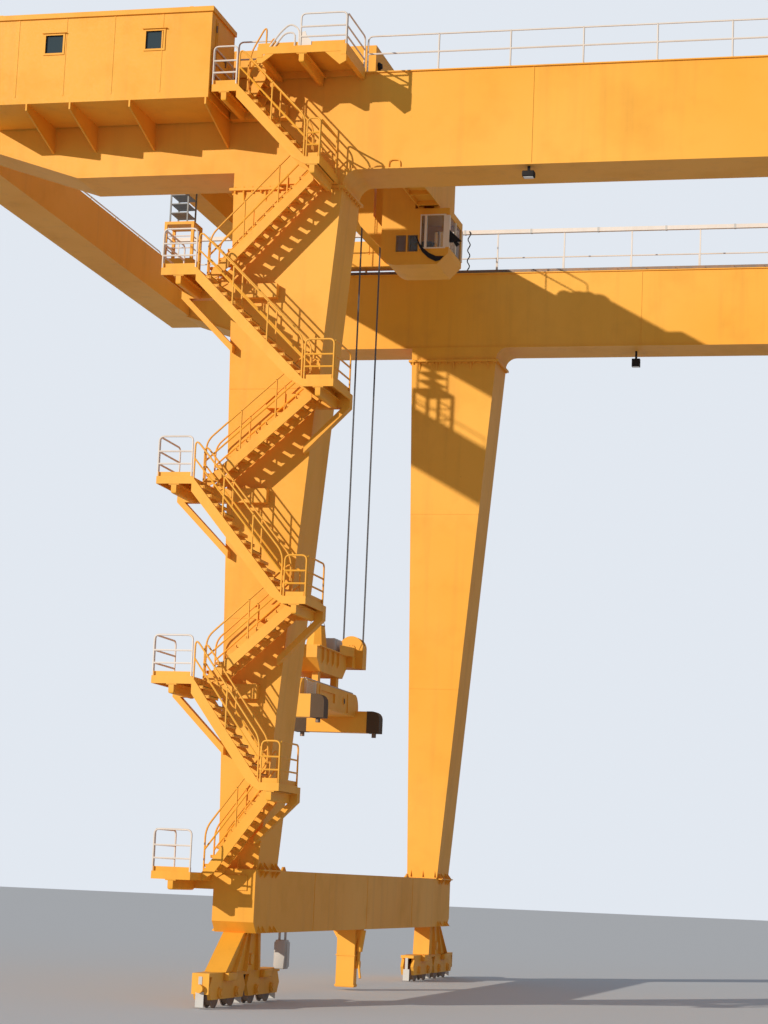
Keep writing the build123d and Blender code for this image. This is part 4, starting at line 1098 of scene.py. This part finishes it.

# Spreader: a round-ended main beam with a twistlock beam across each end. It has ribs, pipes and a
# guarded machinery bay at its near end. Dark umber sheets over the twistlock beams' ends and dark
# discs in the lifting eyes are painted shade.
beam_top, beam_foot, beam_half = 3.87, 3.57, 0.26
eye_y, eye_z = -0.13, 3.735
spreader_trim = bmesh.new()
for face in (-1, 1):
    wall = hoist_x + face * beam_half
    block(
        spreader_trim,
        (wall - face * 0.002, -2.05, beam_foot), (wall + face * 0.018, 0.45, beam_foot + 0.02),
    )
    rod(spreader_trim, (wall - face * 0.002, eye_y, eye_z), (wall + face * 0.010, eye_y, eye_z), 0.05, 24)
    for y in (-1.50, -1.35, 0.05):
        plate(
            spreader_trim,
            [
                (wall, y, beam_foot + 0.01), (wall + face * 0.018, y, beam_foot + 0.01),
                (wall + face * 0.008, y, beam_top - 0.03), (wall, y, beam_top - 0.02),
            ],
            (0, 0.010, 0),
        )
put(spreader_trim, "spreader_ribs", "spreader", yellow)
# Painted shade: this dark umber paint stands in for the shade on the twistlock beams' ends and in the lifting
# eyes.
umber = site_paint(
    "umber_painted_shade", (0.075, 0.042, 0.02, 1), (0.11, 0.065, 0.035, 1), (0.04, 0.025, 0.015, 1),
    (0.10, 0.04, 0.02, 1), 0.6,
)
# Painted shade: dark discs in the lifting eyes, then dark sheets wrapped over the twistlock beams' ends.
shade_sheets = bmesh.new()
for face in (-1, 1):
    wall = hoist_x + face * (beam_half + 0.010)
    rod(shade_sheets, (wall - face * 0.004, eye_y, eye_z), (wall + face * 0.001, eye_y, eye_z), 0.036, 24)
end_foot, end_top, end_half = 3.37, 3.655, 0.59
sheet, end_width, end_round = 0.003, 0.2, 0.093
low, high = end_foot - sheet, end_top + sheet
for end_y in (-2.315, 0.515):
    y = end_y - sheet
    for face in (-1, 1):
        outer, inner = hoist_x + face * (end_half + sheet), hoist_x + face * 0.42
        arc = [
            (outer - face * end_round * (1 - math.cos(turn)), y, high - end_round * (1 - math.sin(turn)))
            for turn in (0, 0.39, 0.79, 1.18, math.pi / 2)
        ]
        plate(
            shade_sheets, [(inner, y, low), (outer, y, low), *arc, (inner, y, high)],
            (0, end_width + 2 * sheet, 0),
        )
put(shade_sheets, "twistlock_beam_shade_sheets", "spreader", umber)
grille_wire = 0.0035
grille = bmesh.new()
for face in (-1, 1):
    x = hoist_x + face * 0.288
    for number in range(12):
        z = 3.605 + number * 0.021
        rod(grille, (x, -2.05, z), (x, -1.66, z), grille_wire, 6)
    for number in range(10):
        y = -2.05 + number * 0.043
        rod(grille, (x, y, 3.59), (x, y, 3.845), grille_wire, 6)
    for y in (-2.06, -1.64):
        block(
            grille,
            (hoist_x + face * 0.258, y - 0.012, 3.575), (hoist_x + face * 0.294, y + 0.012, 3.855),
        )
put(grille, "spreader_machinery_grille", "spreader", cream)
pipes = bmesh.new()
for face in (-1, 1):
    x = hoist_x + face * 0.272
    tubes(pipes, [[(x, y, 3.58), (x, y, 3.86)] for y in (-1.60, -1.57)], 0.007)
    for reach in (0.21, 0.24):
        x, z = hoist_x + face * reach, beam_top + 0.012
        tubes(pipes, [[(x, -1.95, z), (x, 0.40, z)]], 0.008)
put(pipes, "spreader_hydraulic_pipes", "spreader", galvanised)

# Floor and light: a pale floor, a soft bluish sky, and one low sun from the front left at the
# height of the photograph's. Only rays that come from the camera or through glass see the pale
# backdrop.
floor_mesh = bpy.data.meshes.new("floor")
shape = bmesh.new()
bmesh.ops.create_grid(shape, x_segments=1, y_segments=1, size=120)
shape.to_mesh(floor_mesh)
shape.free()
floor = bpy.data.objects.new("floor", floor_mesh)
bpy.context.scene.collection.objects.link(floor)
ground = Finish("pale_floor")
floor_mesh.materials.append(ground.shade(base_color=(0.60, 0.61, 0.62, 1), roughness=0.9))

world = bpy.data.worlds.new("world")
world.use_nodes = True
sky = world.node_tree
fill, backdrop = sky.nodes["Background"], sky.nodes.new("ShaderNodeBackground")
for glow, colour, strength in (
    (fill, (0.74, 0.84, 1.0, 1), 0.38), (backdrop, (0.80, 0.85, 0.92, 1), 0.95),
):
    glow.inputs["Color"].default_value = colour
    glow.inputs["Strength"].default_value = strength
ray = sky.nodes.new("ShaderNodeLightPath")
seen = Wire(sky, ray.outputs["Is Camera Ray"]).math("MAXIMUM", Wire(sky, ray.outputs["Is Transmission Ray"]))
choice = sky.nodes.new("ShaderNodeMixShader")
for number, socket in enumerate((seen.socket, fill.outputs[0], backdrop.outputs[0])):
    sky.links.new(socket, choice.inputs[number])
sky.links.new(choice.outputs[0], sky.nodes["World Output"].inputs["Surface"])
bpy.context.scene.world = world

sun_data = bpy.data.lights.new("key", "SUN")
sun_data.energy = 3.35
sun_data.angle = 0.01
sun_data.color = (1.0, 0.92, 0.80)
sun = bpy.data.objects.new("key", sun_data)
sun_way = Vector((0.64, 1.0, -0.362))
sun.rotation_euler = sun_way.to_track_quat("-Z", "Y").to_euler()
bpy.context.scene.collection.objects.link(sun)
